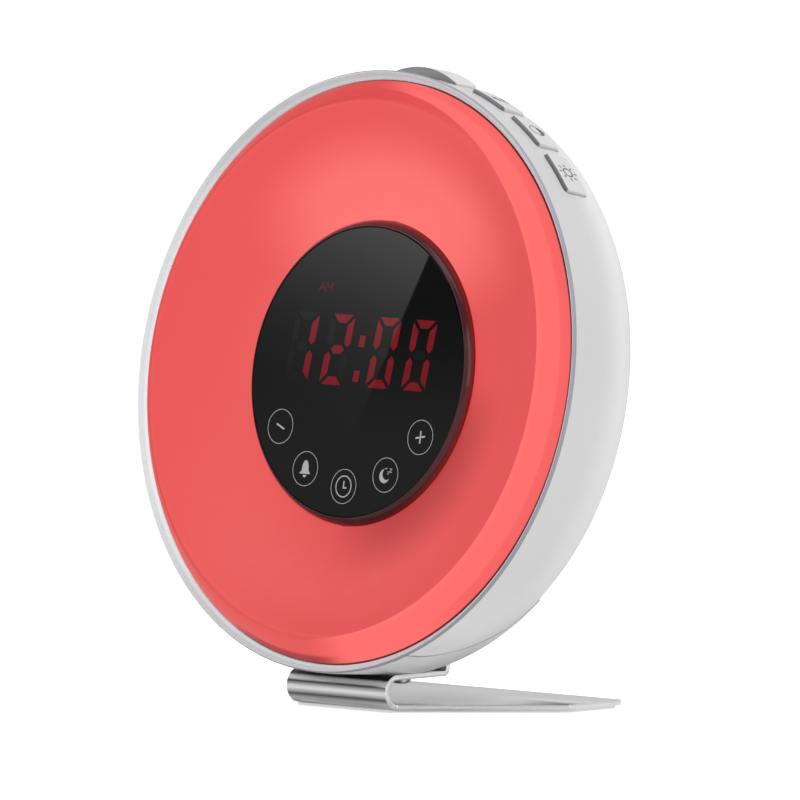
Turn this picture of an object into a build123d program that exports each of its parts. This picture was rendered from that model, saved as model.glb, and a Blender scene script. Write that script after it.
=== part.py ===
from build123d import *
import os
from math import cos, hypot, radians, sin, sqrt, tan

os.makedirs("parts", exist_ok=True)

# Sunrise alarm clock. Millimetres, +Z up. The origin is under the front roll of the stand,
# on the table. The front looks along -Y and the disc leans back.

# ---------------------------------------------------------------- driving sizes
lean = 10.0  # backward lean of the disc, degrees
clearance = 0.2  # gap between pieces that are fitted together
slide_gap = 0.3  # gap round a moving key

# stand
sheet = 1.5  # thickness of the stainless sheet
pad_thickness = 0.7
pad_inset = 1.2  # pad edge inside the plate's edge
pad_front = 1.6  # how far the pad reaches in front of the bend
roll_radius = 4.95  # outside radius of the front bend
roll_width = 39.0
leaf_length = 20.2  # bend axis to the middle of the lip
lip_height = 2.2  # lip above the leaf
lip_radius = 1.6
plate_half = 53.5  # half width of the plate at the back
plate_flare = 34.0  # length of the flared part
plate_depth = 56.5
plate_corner = 3.0
stand_screw_x = 11.0
stand_screw_y = 10.0

# front ring
ring_overhang = 0.4  # ring outside the housing's wall
ring_face = 2.3  # width of the conical face
ring_drop = 2.1  # how far the face falls inwards
ring_side = 1.4  # height of the outer side
ring_ledge = 1.6  # depth of the seat under the face
spigot_depth = 5.2  # how far the ring reaches into the housing
spigot_wall = 2.3
ring_edge = 0.5  # chamfer of the front edge

# diffuser
slope_width = 6.6  # ring to ridge
crest_height = 4.3  # ridge in front of the ring
crest_round = 1.2
diffuser_wall = 2.0
slope_bow = 0.35  # bulge of the outer slope
hub_depth = 4.2  # dish bottom behind the ring
hub_collar = 4.0
hub_slope = 1.0  # slope of the dish at its inner edge, degrees

# display
glass_radius = 41.0
glass_thickness = 2.0
glass_depth = 1.8  # front of the glass behind the ring
bezel_width = 2.2  # tapered side seen from the front
bezel_drop = 2.6  # height of the tapered side
glass_shelf = 1.9  # width of the shelf under the glass
bezel_flange = 48.0
bezel_lip = 0.25  # flat edge round the glass
flange_thickness = 1.5
digit_height = 18.8
digit_width = 9.0
digit_slant = 6.0  # degrees
bar_width = 2.0
bar_gap = 1.0
digit_x = (-24.2, -10.4, 7.9, 21.9)
digit_y = 5.8
lens_thickness = 0.8
lens_proud = 0.2
block_width = 62.0
block_height = 25.0
colon_gap = 10.0
colon_x, colon_y = -1.9, -2.1  # middle of the colon from the middle of the digits
touch_edge = 1.0  # electrode film inside the bezel's bore
touch_top = -9.0
touch_thickness = 0.4
board_thickness = 1.6

peg_circle, peg_radius, pin_radius, pin_head = 33.0, 2.5, 1.0, 0.5

# light chamber
tray_wall = 1.6
tray_rim = 1.0  # gap from the tray's rim to the ring's seat
pedestal_wall = 4.0
ribbon_slot_y, ribbon_slot_width, ribbon_slot_height = -22.0, 16.0, 3.0
tray_floor_depth = 12.4  # front of the tray floor behind the ring
led_gap_inner, led_gap_outer = 2.5, 1.9  # lamp board to the bezel's flange and to the bosses
led_count = 16
led_size = 5.0
led_height = 0.9

# housing
body_radius = 84.6
wall_draft = 0.2
wall_depth = 11.9
housing_wall = 2.4
rim_wall = 0.9  # wall left outside the ring's spigot
shoulder_radius, shoulder_turn = 48.5, 12.5
corner_radius, corner_turn = 12.8, 50.0
dome_radius = 101.0
foot_flat = 1.1  # flat taken off the bottom of the wall
foot_proud = 0.4  # foot skin outside the shell
foot_side, foot_side_depth = 6.4, 1.8  # crease from the bottom of the wall: front end
foot_bend, foot_bend_depth = 10.4, 16.4  # its middle
foot_rise, foot_rise_depth = 26.6, 27.0  # its upper end
boss_inset = 14.6  # bosses inside the wall
boss_radius = 4.6
boss_angles = (25, 155, 215, 325)
screw_radius = 1.5
screw_head = 2.8
screw_head_height = 2.0
screw_slot = 0.6  # width of the cross in the head
screw_land = 6.0  # plastic under the head of a case screw
screw_bite = 6.0  # thread in the tray
pilot_gap = 0.05
boss_reach = 8.0  # how far the tray's sleeves reach forward
stand_screw_length = 8.0

# keys
key_front = 10.0  # front edge of the keys behind the ring
key_length = 9.0  # front to back
key_pitch = 12.05  # degrees
key_first = 45.5  # middle of the lowest key, degrees above the right-hand side
key_width = 14.4
key_proud = 1.3
key_rear_proud = 0.9
key_corner = 1.4
key_edge = 0.5  # rounding of the top edges
snooze_edge = 0.5
key_travel = 0.6
flange_sides = 0.7  # flange outside the cap's outline, towards the next key
flange_ends = 1.4  # flange in front of the cap and behind it
snooze_angle = 88.4
snooze_width = 28.0
snooze_proud = 3.0
snooze_crown = 29.4  # crown radius of the top
snooze_travel = 1.0
flange_height = 3.6  # inside of the wall to the inner face of the key flanges
stem_length = 3.3
stem_radius = 1.7
switch_size = 6.0
switch_height = 2.5
plunger_height = 0.4
bracket_wall = 2.0
bracket_depth = 8.0
bracket_margin = 9.0  # bracket past the outer switches, degrees
stem_setback = 3.0  # stem behind the middle of the key

# back
speaker_radius = 22.0
speaker_rim = 1.5
gasket_width, gasket_thickness = 3.0, 1.0
locator_wall, locator_height = 1.6, 5.0
basket_height, basket_wall, basket_hole = 8.0, 1.2, 6.0
magnet_radius, magnet_height, magnet_edge = 13.0, 5.0, 0.6
cone_height, cone_drop, cone_wall = 4.2, 1.2, 0.4
cone_gap, cone_roll = 3.8, 2.7  # rim of the cone inside the speaker's edge, width of its roll
grille_radius = 18.0
grille_pitch = 4.4
grille_hole = 1.1
jack_y = -50.0
jack_recess, jack_recess_edge, jack_wall = 2.4, 2.0, 2.0
jack_floor = 3.0
jack_gap, pin_setback = 0.2, 1.0
jack_nose = 3.7
jack_bore = 2.9
jack_pin = 1.0
jack_depth = 13.0
jack_width = 11.0
cell_gap = 6.7  # speaker to the cell door
cell_radius = 10.0
cell_thickness = 3.2
door_width, door_height = 29.0, 37.0
door_thickness = 1.6
door_corner = 3.0
door_rim = 2.5  # seat above the holder
door_screw_inset = 4.0
door_screw_radius, door_screw_head, door_screw_length = 1.0, 2.2, 6.0
door_screw_head_height, door_screw_sink = 1.0, 0.3
holder_width = 25.0
holder_height = 5.4
cell_cover = 1.4  # holder's wall over the cell
cell_block_depth, cell_block_floor, cell_block_wall = 14.0, 2.0, 1.5

# boards
main_width, main_height, main_y = 84.0, 54.0, 8.0
main_corner = 2.0
standoff, standoff_radius, standoff_inset = 2.5, 2.6, 5.0
processor_size, processor_height, processor_y = 14.0, 1.8, 18.0
radio_width, radio_length, radio_height = 8.0, 10.0, 2.0
radio_x, radio_y = -22.0, 14.0
driver_width, driver_length, driver_height = 9.0, 6.0, 2.4
driver_x, driver_y = 24.0, 12.0
capacitor_radius, capacitor_height = 4.0, 3.6
capacitor_x, capacitor_y = 32.0, 24.0
ribbon_thickness, ribbon_bend, ribbon_width, ribbon_tail = 0.3, 1.2, 12.0, 8.0
ribbon_top, ribbon_run = -16.0, 4.4

# ---------------------------------------------------------------- frame of the disc
tilt = radians(lean)
forward = Vector(0, -cos(tilt), sin(tilt))
upward = Vector(0, sin(tilt), cos(tilt))
leaf_top = pad_thickness + 2 * roll_radius
disc_setback = 2.0  # ring centre behind the bend axis
disc_height = leaf_top + (body_radius - wall_draft - foot_flat) * cos(tilt) + wall_depth * sin(tilt)
disc_centre = Vector(0, disc_setback, disc_height)
disc_axis = Axis(disc_centre, forward)

face = Plane(origin=disc_centre, x_dir=(1, 0, 0), z_dir=forward)  # x right, y up the disc
meridian = Plane(origin=disc_centre, x_dir=(1, 0, 0), z_dir=-upward)  # x radius, y forward
side = Plane(origin=disc_centre, x_dir=-forward, z_dir=(1, 0, 0))  # x backward, y up the disc

# depths along the disc's axis, forward of the ring's front edge
seam = -ring_side
ring_radius = body_radius + ring_overhang
ring_inner = ring_radius - ring_face
seat = -ring_drop - ring_ledge
ring_fall = ring_drop / (ring_face - ring_edge)  # slope of the conical face
spigot_radius = body_radius - rim_wall - clearance
spigot_inner = spigot_radius - spigot_wall
rim_radius = ring_inner - clearance
crest_radius = rim_radius - slope_width
glass_front = -glass_depth
glass_back = glass_front - glass_thickness
bezel_bore = glass_radius - glass_shelf
bezel_radius = glass_radius + bezel_width
hub_radius = bezel_radius + clearance
bezel_shoulder = glass_front - bezel_drop
flange_front = -hub_depth - hub_collar - clearance / 2
flange_back = flange_front - flange_thickness
display_board_front = flange_back - clearance
display_board_back = display_board_front - board_thickness
tray_front = -tray_floor_depth
tray_back = tray_front - tray_wall
led_board_front = tray_front + board_thickness
flange_under = body_radius - housing_wall - flange_height
tray_radius = flange_under - snooze_travel - slide_gap
boss_circle = body_radius - boss_inset
led_inner = bezel_flange + led_gap_inner
led_outer = boss_circle - boss_radius - led_gap_outer

# housing profile: centres of its arcs, so that inner and outer faces stay parallel
wall_end_radius = body_radius - wall_draft
turn_1 = radians(shoulder_turn)
turn_2 = radians(shoulder_turn + corner_turn)
corner_start = (
    wall_end_radius - shoulder_radius * (1 - cos(turn_1)),
    -wall_depth - shoulder_radius * sin(turn_1),
)
corner_end = (
    corner_start[0] - corner_radius * (cos(turn_1) - cos(turn_2)),
    corner_start[1] - corner_radius * (sin(turn_2) - sin(turn_1)),
)
back_flat_radius = corner_end[0] - dome_radius * cos(turn_2)
case_depth = -corner_end[1] + dome_radius * (1 - sin(turn_2))


def back_face(radius, inset=0.0):
    """Forward position of the domed back at a radius, drawn inwards by inset."""
    reach = max(radius - back_flat_radius, 0.0)
    arc = dome_radius - inset
    return -case_depth + inset + arc - sqrt(arc**2 - reach**2)


def turned(*outline, mode=Mode.ADD):
    """A ring or disc turned about the disc's axis from (radius, forward) corners."""
    with BuildSketch(meridian) as profile:
        with BuildLine():
            Polyline(*outline, close=True)
        make_face()
    revolve(profile.sketch, axis=disc_axis, mode=mode)


def housing_form(inset, mode=Mode.ADD):
    """The solid inside the housing's outer face, drawn inwards by inset."""
    with BuildSketch(meridian) as profile:
        with BuildLine():
            wall = Line((body_radius - inset, seam), (wall_end_radius - inset, -wall_depth))
            shoulder = JernArc(wall @ 1, (0, -1), shoulder_radius - inset, -shoulder_turn)
            corner = JernArc(shoulder @ 1, shoulder % 1, corner_radius - inset, -corner_turn)
            dome = JernArc(corner @ 1, corner % 1, dome_radius - inset, shoulder_turn + corner_turn - 90)
            Polyline(dome @ 1, (0, inset - case_depth), (0, seam), wall @ 0)
        make_face()
    revolve(profile.sketch, axis=disc_axis, mode=mode)


def post(x, y, radius, low, high, mode=Mode.ADD):
    """A round post along the disc's axis between two forward positions."""
    with BuildSketch(face.offset(low)) as end:
        with Locations((x, y)):
            Circle(radius)
    extrude(end.sketch, amount=high - low, mode=mode)


def block(x, y, width, height, low, high, corner=0.0, mode=Mode.ADD):
    """A rectangular block along the disc's axis between two forward positions."""
    with BuildSketch(face.offset(low)) as end:
        with Locations((x, y)):
            if corner:
                RectangleRounded(width, height, corner)
            else:
                Rectangle(width, height)
    extrude(end.sketch, amount=high - low, mode=mode)


def boss_place(angle):
    return boss_circle * cos(radians(angle)), boss_circle * sin(radians(angle))


def radial_plane(angle, depth, radius):
    """Plane whose normal points out of the side wall; its y runs forward."""
    out = Vector(1, 0, 0) * cos(radians(angle)) + upward * sin(radians(angle))
    across = Vector(1, 0, 0) * -sin(radians(angle)) + upward * cos(radians(angle))
    return Plane(origin=disc_centre + out * radius - forward * depth, x_dir=across, z_dir=out)


def save(piece, name):
    piece.part.label = name
    export_step(piece.part, f"parts/{name}.step")


# ---------------------------------------------------------------- stand
bend_height = pad_thickness + roll_radius
bend_line = roll_radius - sheet / 2
plate_corners = (
    (-roll_width / 2, 0),
    (roll_width / 2, 0),
    (plate_half, plate_flare),
    (plate_half, plate_depth),
    (-plate_half, plate_depth),
    (-plate_half, plate_flare),
)

with BuildPart() as stand_bracket:
    with BuildSketch(Plane.YZ):
        with BuildLine():
            low = Line((sheet, bend_height - bend_line), (0, bend_height - bend_line))
            bend = ThreePointArc(low @ 1, (-bend_line, bend_height), (0, bend_height + bend_line))
            leaf = Line(bend @ 1, (leaf_length - lip_radius, bend_height + bend_line))
            rise = JernArc(leaf @ 1, (1, 0), lip_radius, 90)
            Line(rise @ 1, rise @ 1 + (0, lip_height - lip_radius + sheet / 2))
        trace(line_width=sheet)
    extrude(amount=roll_width / 2, both=True)
    with BuildSketch(Plane.XY.offset(pad_thickness)) as plan:
        with BuildLine():
            Polyline(*plate_corners, close=True)
        make_face()
        fillet(plan.vertices().group_by(Axis.Y)[-1], plate_corner)
    extrude(amount=sheet)
    with Locations(Plane.XY.offset(leaf_top)):
        with Locations((stand_screw_x, stand_screw_y), (-stand_screw_x, stand_screw_y)):
            Hole(screw_radius + clearance, depth=sheet + 0.5)
save(stand_bracket, "stand_bracket")

with BuildPart() as stand_pad:
    with BuildSketch(Plane.XY) as pad_plan:
        with BuildLine():
            Polyline(
                (-roll_width / 2, -pad_front - pad_inset),
                (roll_width / 2, -pad_front - pad_inset),
                *plate_corners[1:],
                plate_corners[0],
                close=True,
            )
        make_face()
        offset(amount=-pad_inset, kind=Kind.INTERSECTION)
        fillet(pad_plan.vertices().group_by(Axis.Y)[-1], plate_corner)
    extrude(amount=pad_thickness)
save(stand_pad, "stand_pad")

with BuildPart() as stand_screws:
    with BuildSketch(Plane.XY.offset(leaf_top - sheet - screw_head_height)):
        with Locations((stand_screw_x, stand_screw_y), (-stand_screw_x, stand_screw_y)):
            Circle(screw_head)
    extrude(amount=screw_head_height)
    with BuildSketch(Plane.XY.offset(leaf_top - sheet)):
        with Locations((stand_screw_x, stand_screw_y), (-stand_screw_x, stand_screw_y)):
            Circle(screw_radius)
    extrude(amount=stand_screw_length)
    with BuildSketch(Plane.XY.offset(leaf_top - sheet - screw_head_height)):
        with Locations((stand_screw_x, stand_screw_y), (-stand_screw_x, stand_screw_y)):
            Rectangle(screw_head * 1.3, screw_slot)
            Rectangle(screw_slot, screw_head * 1.3)
    extrude(amount=screw_head_height / 2, mode=Mode.SUBTRACT)
save(stand_screws, "stand_screws")

# ---------------------------------------------------------------- keys: shared places
keys = {
    "key_light": key_first,
    "key_contrast": key_first + key_pitch,
    "key_sound": key_first + 2 * key_pitch,
}
key_middle = key_front + key_length / 2
switch_middle = key_middle + stem_setback
stem_end = flange_under - stem_length
switch_top = stem_end - key_travel - slide_gap
snooze_switch_top = stem_end - snooze_travel - slide_gap
bracket_outer = switch_top - plunger_height - switch_height
key_rear = key_front + key_length
key_rear_radius = wall_end_radius - shoulder_radius + sqrt(shoulder_radius**2 - (key_rear - wall_depth) ** 2)
cap_reach = body_radius + 2 * snooze_proud


def cap_outline(width, sides=0.0, ends=0.0):
    RectangleRounded(width + 2 * sides, key_length + 2 * ends, key_corner + min(sides, ends))


def cut_pocket(angle, width):
    """Opening in the side wall round one cap."""
    with BuildSketch(radial_plane(angle, key_middle, flange_under)) as opening:
        cap_outline(width, slide_gap, slide_gap)
    extrude(opening.sketch, amount=cap_reach - flange_under, mode=Mode.SUBTRACT)


# ---------------------------------------------------------------- housing
locator_radius = speaker_radius + clearance + locator_wall
door_x, door_y = -(locator_radius + cell_gap + door_width / 2), 0.0
door_screw_y = door_screw_inset - door_height / 2
cell_y = door_height / 2 - holder_width / 2 - door_rim
cell_block_front = back_face(abs(door_x)) + cell_block_depth
pocket_floor = cell_block_front - cell_block_floor
jack_face = back_face(abs(jack_y)) + jack_recess
jack_shoulder = jack_face + jack_wall
speaker_face = -case_depth + housing_wall
stand_boss_top = leaf_top + stand_screw_length
head_seat = tray_back - screw_land
behind = -case_depth - clearance  # just behind the back
beyond = 1.5 * ring_radius  # outside everything

with BuildPart() as cavity:
    housing_form(housing_wall)
    # floor over the stand, with two screw bosses
    with BuildSketch(Plane.XY):
        Rectangle(2 * beyond, 2 * beyond)
    extrude(amount=leaf_top + housing_wall, mode=Mode.SUBTRACT)
    with BuildSketch(Plane.XY):
        with Locations((stand_screw_x, stand_screw_y), (-stand_screw_x, stand_screw_y)):
            Circle(screw_radius + housing_wall)
    extrude(amount=stand_boss_top, mode=Mode.SUBTRACT)
    # case screw bosses
    for angle in boss_angles:
        post(*boss_place(angle), boss_radius, -case_depth, tray_back, mode=Mode.SUBTRACT)
    # locating ring round the speaker
    with BuildSketch(face.offset(-case_depth)):
        Circle(locator_radius)
        Circle(speaker_radius + clearance, mode=Mode.SUBTRACT)
    extrude(amount=housing_wall + locator_height, mode=Mode.SUBTRACT)
    # solid round the inlet and the cell bay
    jack_block = jack_width + 2 * jack_wall
    block(0, jack_y, jack_block, jack_block, -case_depth, jack_shoulder, mode=Mode.SUBTRACT)
    bay_width, bay_height = door_width + 2 * cell_block_wall, door_height + 2 * cell_block_wall
    block(
        door_x, door_y, bay_width, bay_height, -case_depth, cell_block_front,
        door_corner + cell_block_wall, mode=Mode.SUBTRACT,
    )

with BuildPart() as foot_skin:
    housing_form(-foot_proud)
    with BuildSketch(side):
        with BuildLine():
            foot_top = foot_rise - body_radius
            crease = ThreePointArc(
                (foot_side_depth, foot_side - body_radius),
                (foot_bend_depth, foot_bend - body_radius),
                (foot_rise_depth, foot_top),
            )
            Polyline(
                crease @ 1, (beyond, foot_top), (beyond, -beyond), (foot_side_depth, -beyond), crease @ 0
            )
        make_face()
    extrude(amount=beyond, both=True, mode=Mode.INTERSECT)

with BuildPart() as door_recess:
    seat_width, seat_height = door_width + 2 * clearance, door_height + 2 * clearance
    block(door_x, door_y, seat_width, seat_height, behind, cell_block_front, door_corner + clearance)
    housing_form(door_thickness, mode=Mode.SUBTRACT)

with BuildPart() as rear_housing:
    housing_form(0.0)
    add(foot_skin.part)
    with BuildSketch(Plane.XY.offset(leaf_top)):
        Rectangle(2 * beyond, 2 * beyond)
    extrude(amount=-beyond, mode=Mode.SUBTRACT)
    add(cavity.part, mode=Mode.SUBTRACT)
    for angle in keys.values():
        cut_pocket(angle, key_width)
    cut_pocket(snooze_angle, snooze_width)
    # rebate for the ring's spigot, and a front edge that slopes like the ring's face
    rebate = body_radius - rim_wall
    post(0, 0, rebate, seam - spigot_depth - clearance, 0, mode=Mode.SUBTRACT)
    edge_foot = seam - rim_wall * ring_fall
    inside = rebate - rim_wall
    turned(
        (body_radius, seam), (rebate, edge_foot), (inside, edge_foot), (inside, seam), mode=Mode.SUBTRACT
    )
    # speaker grille: rings of round holes
    with BuildSketch(face.offset(behind)):
        Circle(grille_hole)
        for ring in range(1, int(grille_radius / grille_pitch) + 1):
            with PolarLocations(ring * grille_pitch, 6 * ring):
                Circle(grille_hole)
    extrude(amount=housing_wall + 2 * clearance, mode=Mode.SUBTRACT)
    # inlet: flat dish and nose hole
    post(0, jack_y, jack_nose + jack_recess_edge, -case_depth, jack_face, mode=Mode.SUBTRACT)
    post(0, jack_y, jack_nose + clearance / 2, -case_depth, jack_shoulder, mode=Mode.SUBTRACT)
    # cell bay: door seat, pocket and screw hole
    add(door_recess.part, mode=Mode.SUBTRACT)
    bay = holder_width + 2 * clearance
    block(door_x, door_y + cell_y, bay, bay, -case_depth, pocket_floor, 1.0, mode=Mode.SUBTRACT)
    pilot = door_screw_radius + pilot_gap
    post(door_x, door_y + door_screw_y, pilot, -case_depth, pocket_floor, mode=Mode.SUBTRACT)
    # screw holes in the case bosses, heads sunk from the back
    for angle in boss_angles:
        boss_x, boss_y = boss_place(angle)
        post(boss_x, boss_y, screw_radius + clearance / 2, -case_depth, tray_back, mode=Mode.SUBTRACT)
        post(boss_x, boss_y, screw_head + clearance, -case_depth, head_seat, mode=Mode.SUBTRACT)
    # pilot holes for the stand screws
    with BuildSketch(Plane.XY.offset(leaf_top)):
        with Locations((stand_screw_x, stand_screw_y), (-stand_screw_x, stand_screw_y)):
            Circle(screw_radius + pilot_gap)
    extrude(amount=stand_screw_length - sheet, mode=Mode.SUBTRACT)
save(rear_housing, "rear_housing")

with BuildPart() as case_screws:
    for angle in boss_angles:
        boss_x, boss_y = boss_place(angle)
        head_top, cross = head_seat - screw_head_height, 1.3 * screw_head
        post(boss_x, boss_y, screw_head, head_top, head_seat)
        post(boss_x, boss_y, screw_radius, head_seat, tray_back + screw_bite)
        for width, height in ((cross, screw_slot), (screw_slot, cross)):
            slot_floor = head_seat - screw_head_height / 2
            block(boss_x, boss_y, width, height, head_top, slot_floor, mode=Mode.SUBTRACT)
save(case_screws, "case_screws")

# ---------------------------------------------------------------- front ring and diffuser
with BuildPart() as trim_ring:
    turned(
        (ring_radius, seam),
        (ring_radius, -ring_edge),
        (ring_radius - ring_edge, 0),
        (ring_inner, -ring_drop),
        (ring_inner, seat),
        (spigot_inner, seat),
        (spigot_inner, seam - spigot_depth),
        (spigot_radius, seam - spigot_depth),
        (spigot_radius, seam - (body_radius - spigot_radius) * ring_fall),
        (body_radius, seam),
    )
save(trim_ring, "trim_ring")

rim_top = -ring_drop - clearance
hub_out = (hub_radius, -hub_depth)
crest_out = (crest_radius, crest_height)
crest_in = (crest_radius - 0.35, crest_height - 1.3 * diffuser_wall)
slope_middle = ((rim_radius + crest_radius) / 2 + slope_bow, (rim_top + crest_height) / 2 + slope_bow)
inner_foot = (rim_radius - 1.2 * diffuser_wall, rim_top - 0.2 * diffuser_wall)

with BuildPart() as light_diffuser:
    with BuildSketch(meridian) as cap:
        with BuildLine():
            rim = Polyline((rim_radius, seat), (rim_radius, rim_top))
            slope = ThreePointArc(rim @ 1, slope_middle, crest_out)
            dish_start = (cos(radians(hub_slope)), sin(radians(hub_slope)))
            dish = TangentArc(hub_out, crest_out, tangent=dish_start)
            collar = Polyline(
                hub_out,
                (hub_radius, -hub_depth - hub_collar),
                (hub_radius + diffuser_wall, -hub_depth - hub_collar),
                (hub_radius + diffuser_wall, -hub_depth - diffuser_wall),
            )
            inner_dish = TangentArc(collar @ 1, crest_in, tangent=dish_start)
            Polyline(crest_in, inner_foot, (inner_foot[0], seat), rim @ 0)
        make_face()
        fillet(cap.vertices().sort_by_distance(crest_out)[0], crest_round)
    revolve(axis=disc_axis)
save(light_diffuser, "light_diffuser")

# ---------------------------------------------------------------- display
with BuildPart() as display_bezel:
    turned(
        (glass_radius + clearance, glass_back),
        (glass_radius + clearance, glass_front),
        (glass_radius + clearance + bezel_lip, glass_front),
        (bezel_radius, bezel_shoulder),
        (bezel_radius, flange_front),
        (bezel_flange, flange_front),
        (bezel_flange, flange_back),
        (bezel_bore, flange_back),
        (bezel_bore, glass_back),
    )
save(display_bezel, "display_bezel")

with BuildPart() as display_glass:
    post(0, 0, glass_radius, glass_back, glass_front)
    chamfer(display_glass.edges().sort_by(disc_axis)[-1], bezel_lip)
save(display_glass, "display_glass")


def slanted(*points):
    """Corners leaned to the right by the digit slant about the digit's middle."""
    return [(x + y * tan(radians(digit_slant)), y) for x, y in points]


def bar(x, y, length, upright):
    """One six-sided bar of a digit."""
    half, tip = length / 2 - bar_gap / 2, bar_width / 2
    flat = [(-half, 0), (tip - half, tip), (half - tip, tip)]
    flat += [(-a, -b) for a, b in flat]
    corners = [(x + b, y + a) if upright else (x + a, y + b) for a, b in flat]
    Polygon(*slanted(*corners), align=None)


def digit_bars():
    """All bars of four digits and the two dots of the colon."""
    wide, tall = digit_width - bar_width, (digit_height - bar_width) / 2
    for centre in digit_x:
        with Locations((centre, digit_y)):
            for row in (-1, 0, 1):
                bar(0, row * tall, wide, False)
            for column in (-0.5, 0.5):
                for row in (-0.5, 0.5):
                    bar(column * wide, row * tall, tall, True)
    for row in (-0.5, 0.5):
        dot_y = colon_y + row * colon_gap
        with Locations((colon_x + dot_y * tan(radians(digit_slant)), digit_y + dot_y)):
            Rectangle(bar_width, bar_width)


lens_front = glass_back - clearance / 2
block_front = lens_front - lens_proud
with BuildPart() as digit_display:
    block(0, digit_y, block_width, block_height, display_board_front, block_front, 1.0)
    with BuildSketch(face.offset(block_front)):
        digit_bars()
    extrude(amount=lens_proud - lens_thickness, mode=Mode.SUBTRACT)
save(digit_display, "digit_display")

with BuildPart() as segment_lenses:
    with BuildSketch(face.offset(lens_front)):
        digit_bars()
    extrude(amount=-lens_thickness)
save(segment_lenses, "segment_lenses")

touch_radius = bezel_bore - touch_edge
with BuildPart() as touch_sheet:
    with BuildSketch(face.offset(glass_back)):
        Circle(touch_radius)
        with Locations((0, touch_top + touch_radius)):
            Rectangle(2 * touch_radius, 2 * touch_radius, mode=Mode.SUBTRACT)
    extrude(amount=-touch_thickness)
save(touch_sheet, "touch_sheet")

with BuildPart() as display_board:
    post(0, 0, bezel_bore - 4 * clearance, display_board_back, display_board_front)
    with BuildSketch(face.offset(display_board_front)):
        with PolarLocations(peg_circle, 4, start_angle=45):
            Circle(pin_radius + pilot_gap)
    extrude(amount=-board_thickness, mode=Mode.SUBTRACT)
save(display_board, "display_board")

# ---------------------------------------------------------------- light chamber
with BuildPart() as light_tray:
    post(0, 0, tray_radius, tray_back, tray_front)
    turned(
        (tray_radius - tray_wall, tray_back),
        (tray_radius, tray_back),
        (tray_radius, seat - tray_rim),
        (tray_radius - tray_wall, seat - tray_rim),
    )
    turned(
        (bezel_flange - pedestal_wall, tray_front),
        (bezel_flange, tray_front),
        (bezel_flange, flange_back),
        (bezel_flange - pedestal_wall, flange_back),
    )
    with BuildSketch(face.offset(tray_front)):
        with PolarLocations(peg_circle, 4, start_angle=45):
            Circle(peg_radius)
    extrude(amount=display_board_back - tray_front)
    with BuildSketch(face.offset(display_board_back)):
        with PolarLocations(peg_circle, 4, start_angle=45):
            Circle(pin_radius)
    extrude(amount=board_thickness + pin_head)
    for angle in boss_angles:
        post(*boss_place(angle), boss_radius, tray_front, tray_back + boss_reach)
    for angle in boss_angles:
        pilot_end = tray_back + screw_bite + clearance
        post(*boss_place(angle), screw_radius + pilot_gap, tray_back, pilot_end, mode=Mode.SUBTRACT)
    # slot for the ribbon
    block(
        0, ribbon_slot_y, ribbon_slot_width, ribbon_slot_height, tray_back, tray_front, mode=Mode.SUBTRACT
    )
save(light_tray, "light_tray")

with BuildPart() as led_board:
    with BuildSketch(face.offset(tray_front)):
        Circle(led_outer)
        Circle(led_inner, mode=Mode.SUBTRACT)
    extrude(amount=board_thickness)
save(led_board, "led_board")

with BuildPart() as led_emitters:
    with BuildSketch(face.offset(led_board_front)):
        with PolarLocations((led_inner + led_outer) / 2, led_count):
            Rectangle(led_size, led_size)
    extrude(amount=led_height)
save(led_emitters, "led_emitters")

# ---------------------------------------------------------------- electronics
main_front = tray_back - standoff
main_back = main_front - board_thickness
with BuildPart() as main_board:
    block(0, main_y, main_width, main_height, main_back, main_front, main_corner)
    with BuildSketch(face.offset(main_front)):
        with Locations((0, main_y)):
            with GridLocations(main_width - 2 * standoff_inset, main_height - 2 * standoff_inset, 2, 2):
                Circle(standoff_radius)
    extrude(amount=standoff)
save(main_board, "main_board")

with BuildPart() as main_board_chips:
    block(0, processor_y, processor_size, processor_size, main_back - processor_height, main_back)
    block(radio_x, radio_y, radio_width, radio_length, main_back - radio_height, main_back)
    block(driver_x, driver_y, driver_width, driver_length, main_back - driver_height, main_back)
    post(capacitor_x, capacitor_y, capacitor_radius, main_back - capacitor_height, main_back)
save(main_board_chips, "main_board_chips")

with BuildPart() as ribbon_cable:
    with BuildSketch(side):
        with BuildLine():
            first = -display_board_back + ribbon_thickness / 2
            last = -main_front - ribbon_thickness / 2
            start = Line((first, ribbon_top), (first, ribbon_top - ribbon_run))
            drop = JernArc(start @ 1, (0, -1), ribbon_bend, 90)
            reach = Line(drop @ 1, (last - ribbon_bend, (drop @ 1).Y))
            rise = JernArc(reach @ 1, (1, 0), ribbon_bend, 90)
            Line(rise @ 1, (rise @ 1) + (0, ribbon_tail))
        trace(line_width=ribbon_thickness)
    extrude(amount=ribbon_width / 2, both=True)
save(ribbon_cable, "ribbon_cable")

jack_nose_back = jack_face + jack_gap
jack_bore_floor = jack_shoulder + jack_depth - jack_floor
with BuildPart() as dc_jack:
    block(0, jack_y, jack_width, jack_width, jack_shoulder, jack_shoulder + jack_depth, 1.0)
    post(0, jack_y, jack_nose, jack_nose_back, jack_shoulder)
    post(0, jack_y, jack_bore, jack_nose_back, jack_bore_floor, mode=Mode.SUBTRACT)
    post(0, jack_y, jack_pin, jack_nose_back + pin_setback, jack_bore_floor)
save(dc_jack, "dc_jack")

# ---------------------------------------------------------------- speaker
speaker_seat = speaker_face + gasket_thickness
speaker_front = speaker_seat + speaker_rim
basket_front = speaker_front + basket_height
with BuildPart() as speaker_gasket:
    with BuildSketch(face.offset(speaker_face)):
        Circle(speaker_radius)
        Circle(speaker_radius - gasket_width, mode=Mode.SUBTRACT)
    extrude(amount=gasket_thickness)
save(speaker_gasket, "speaker_gasket")

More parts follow.
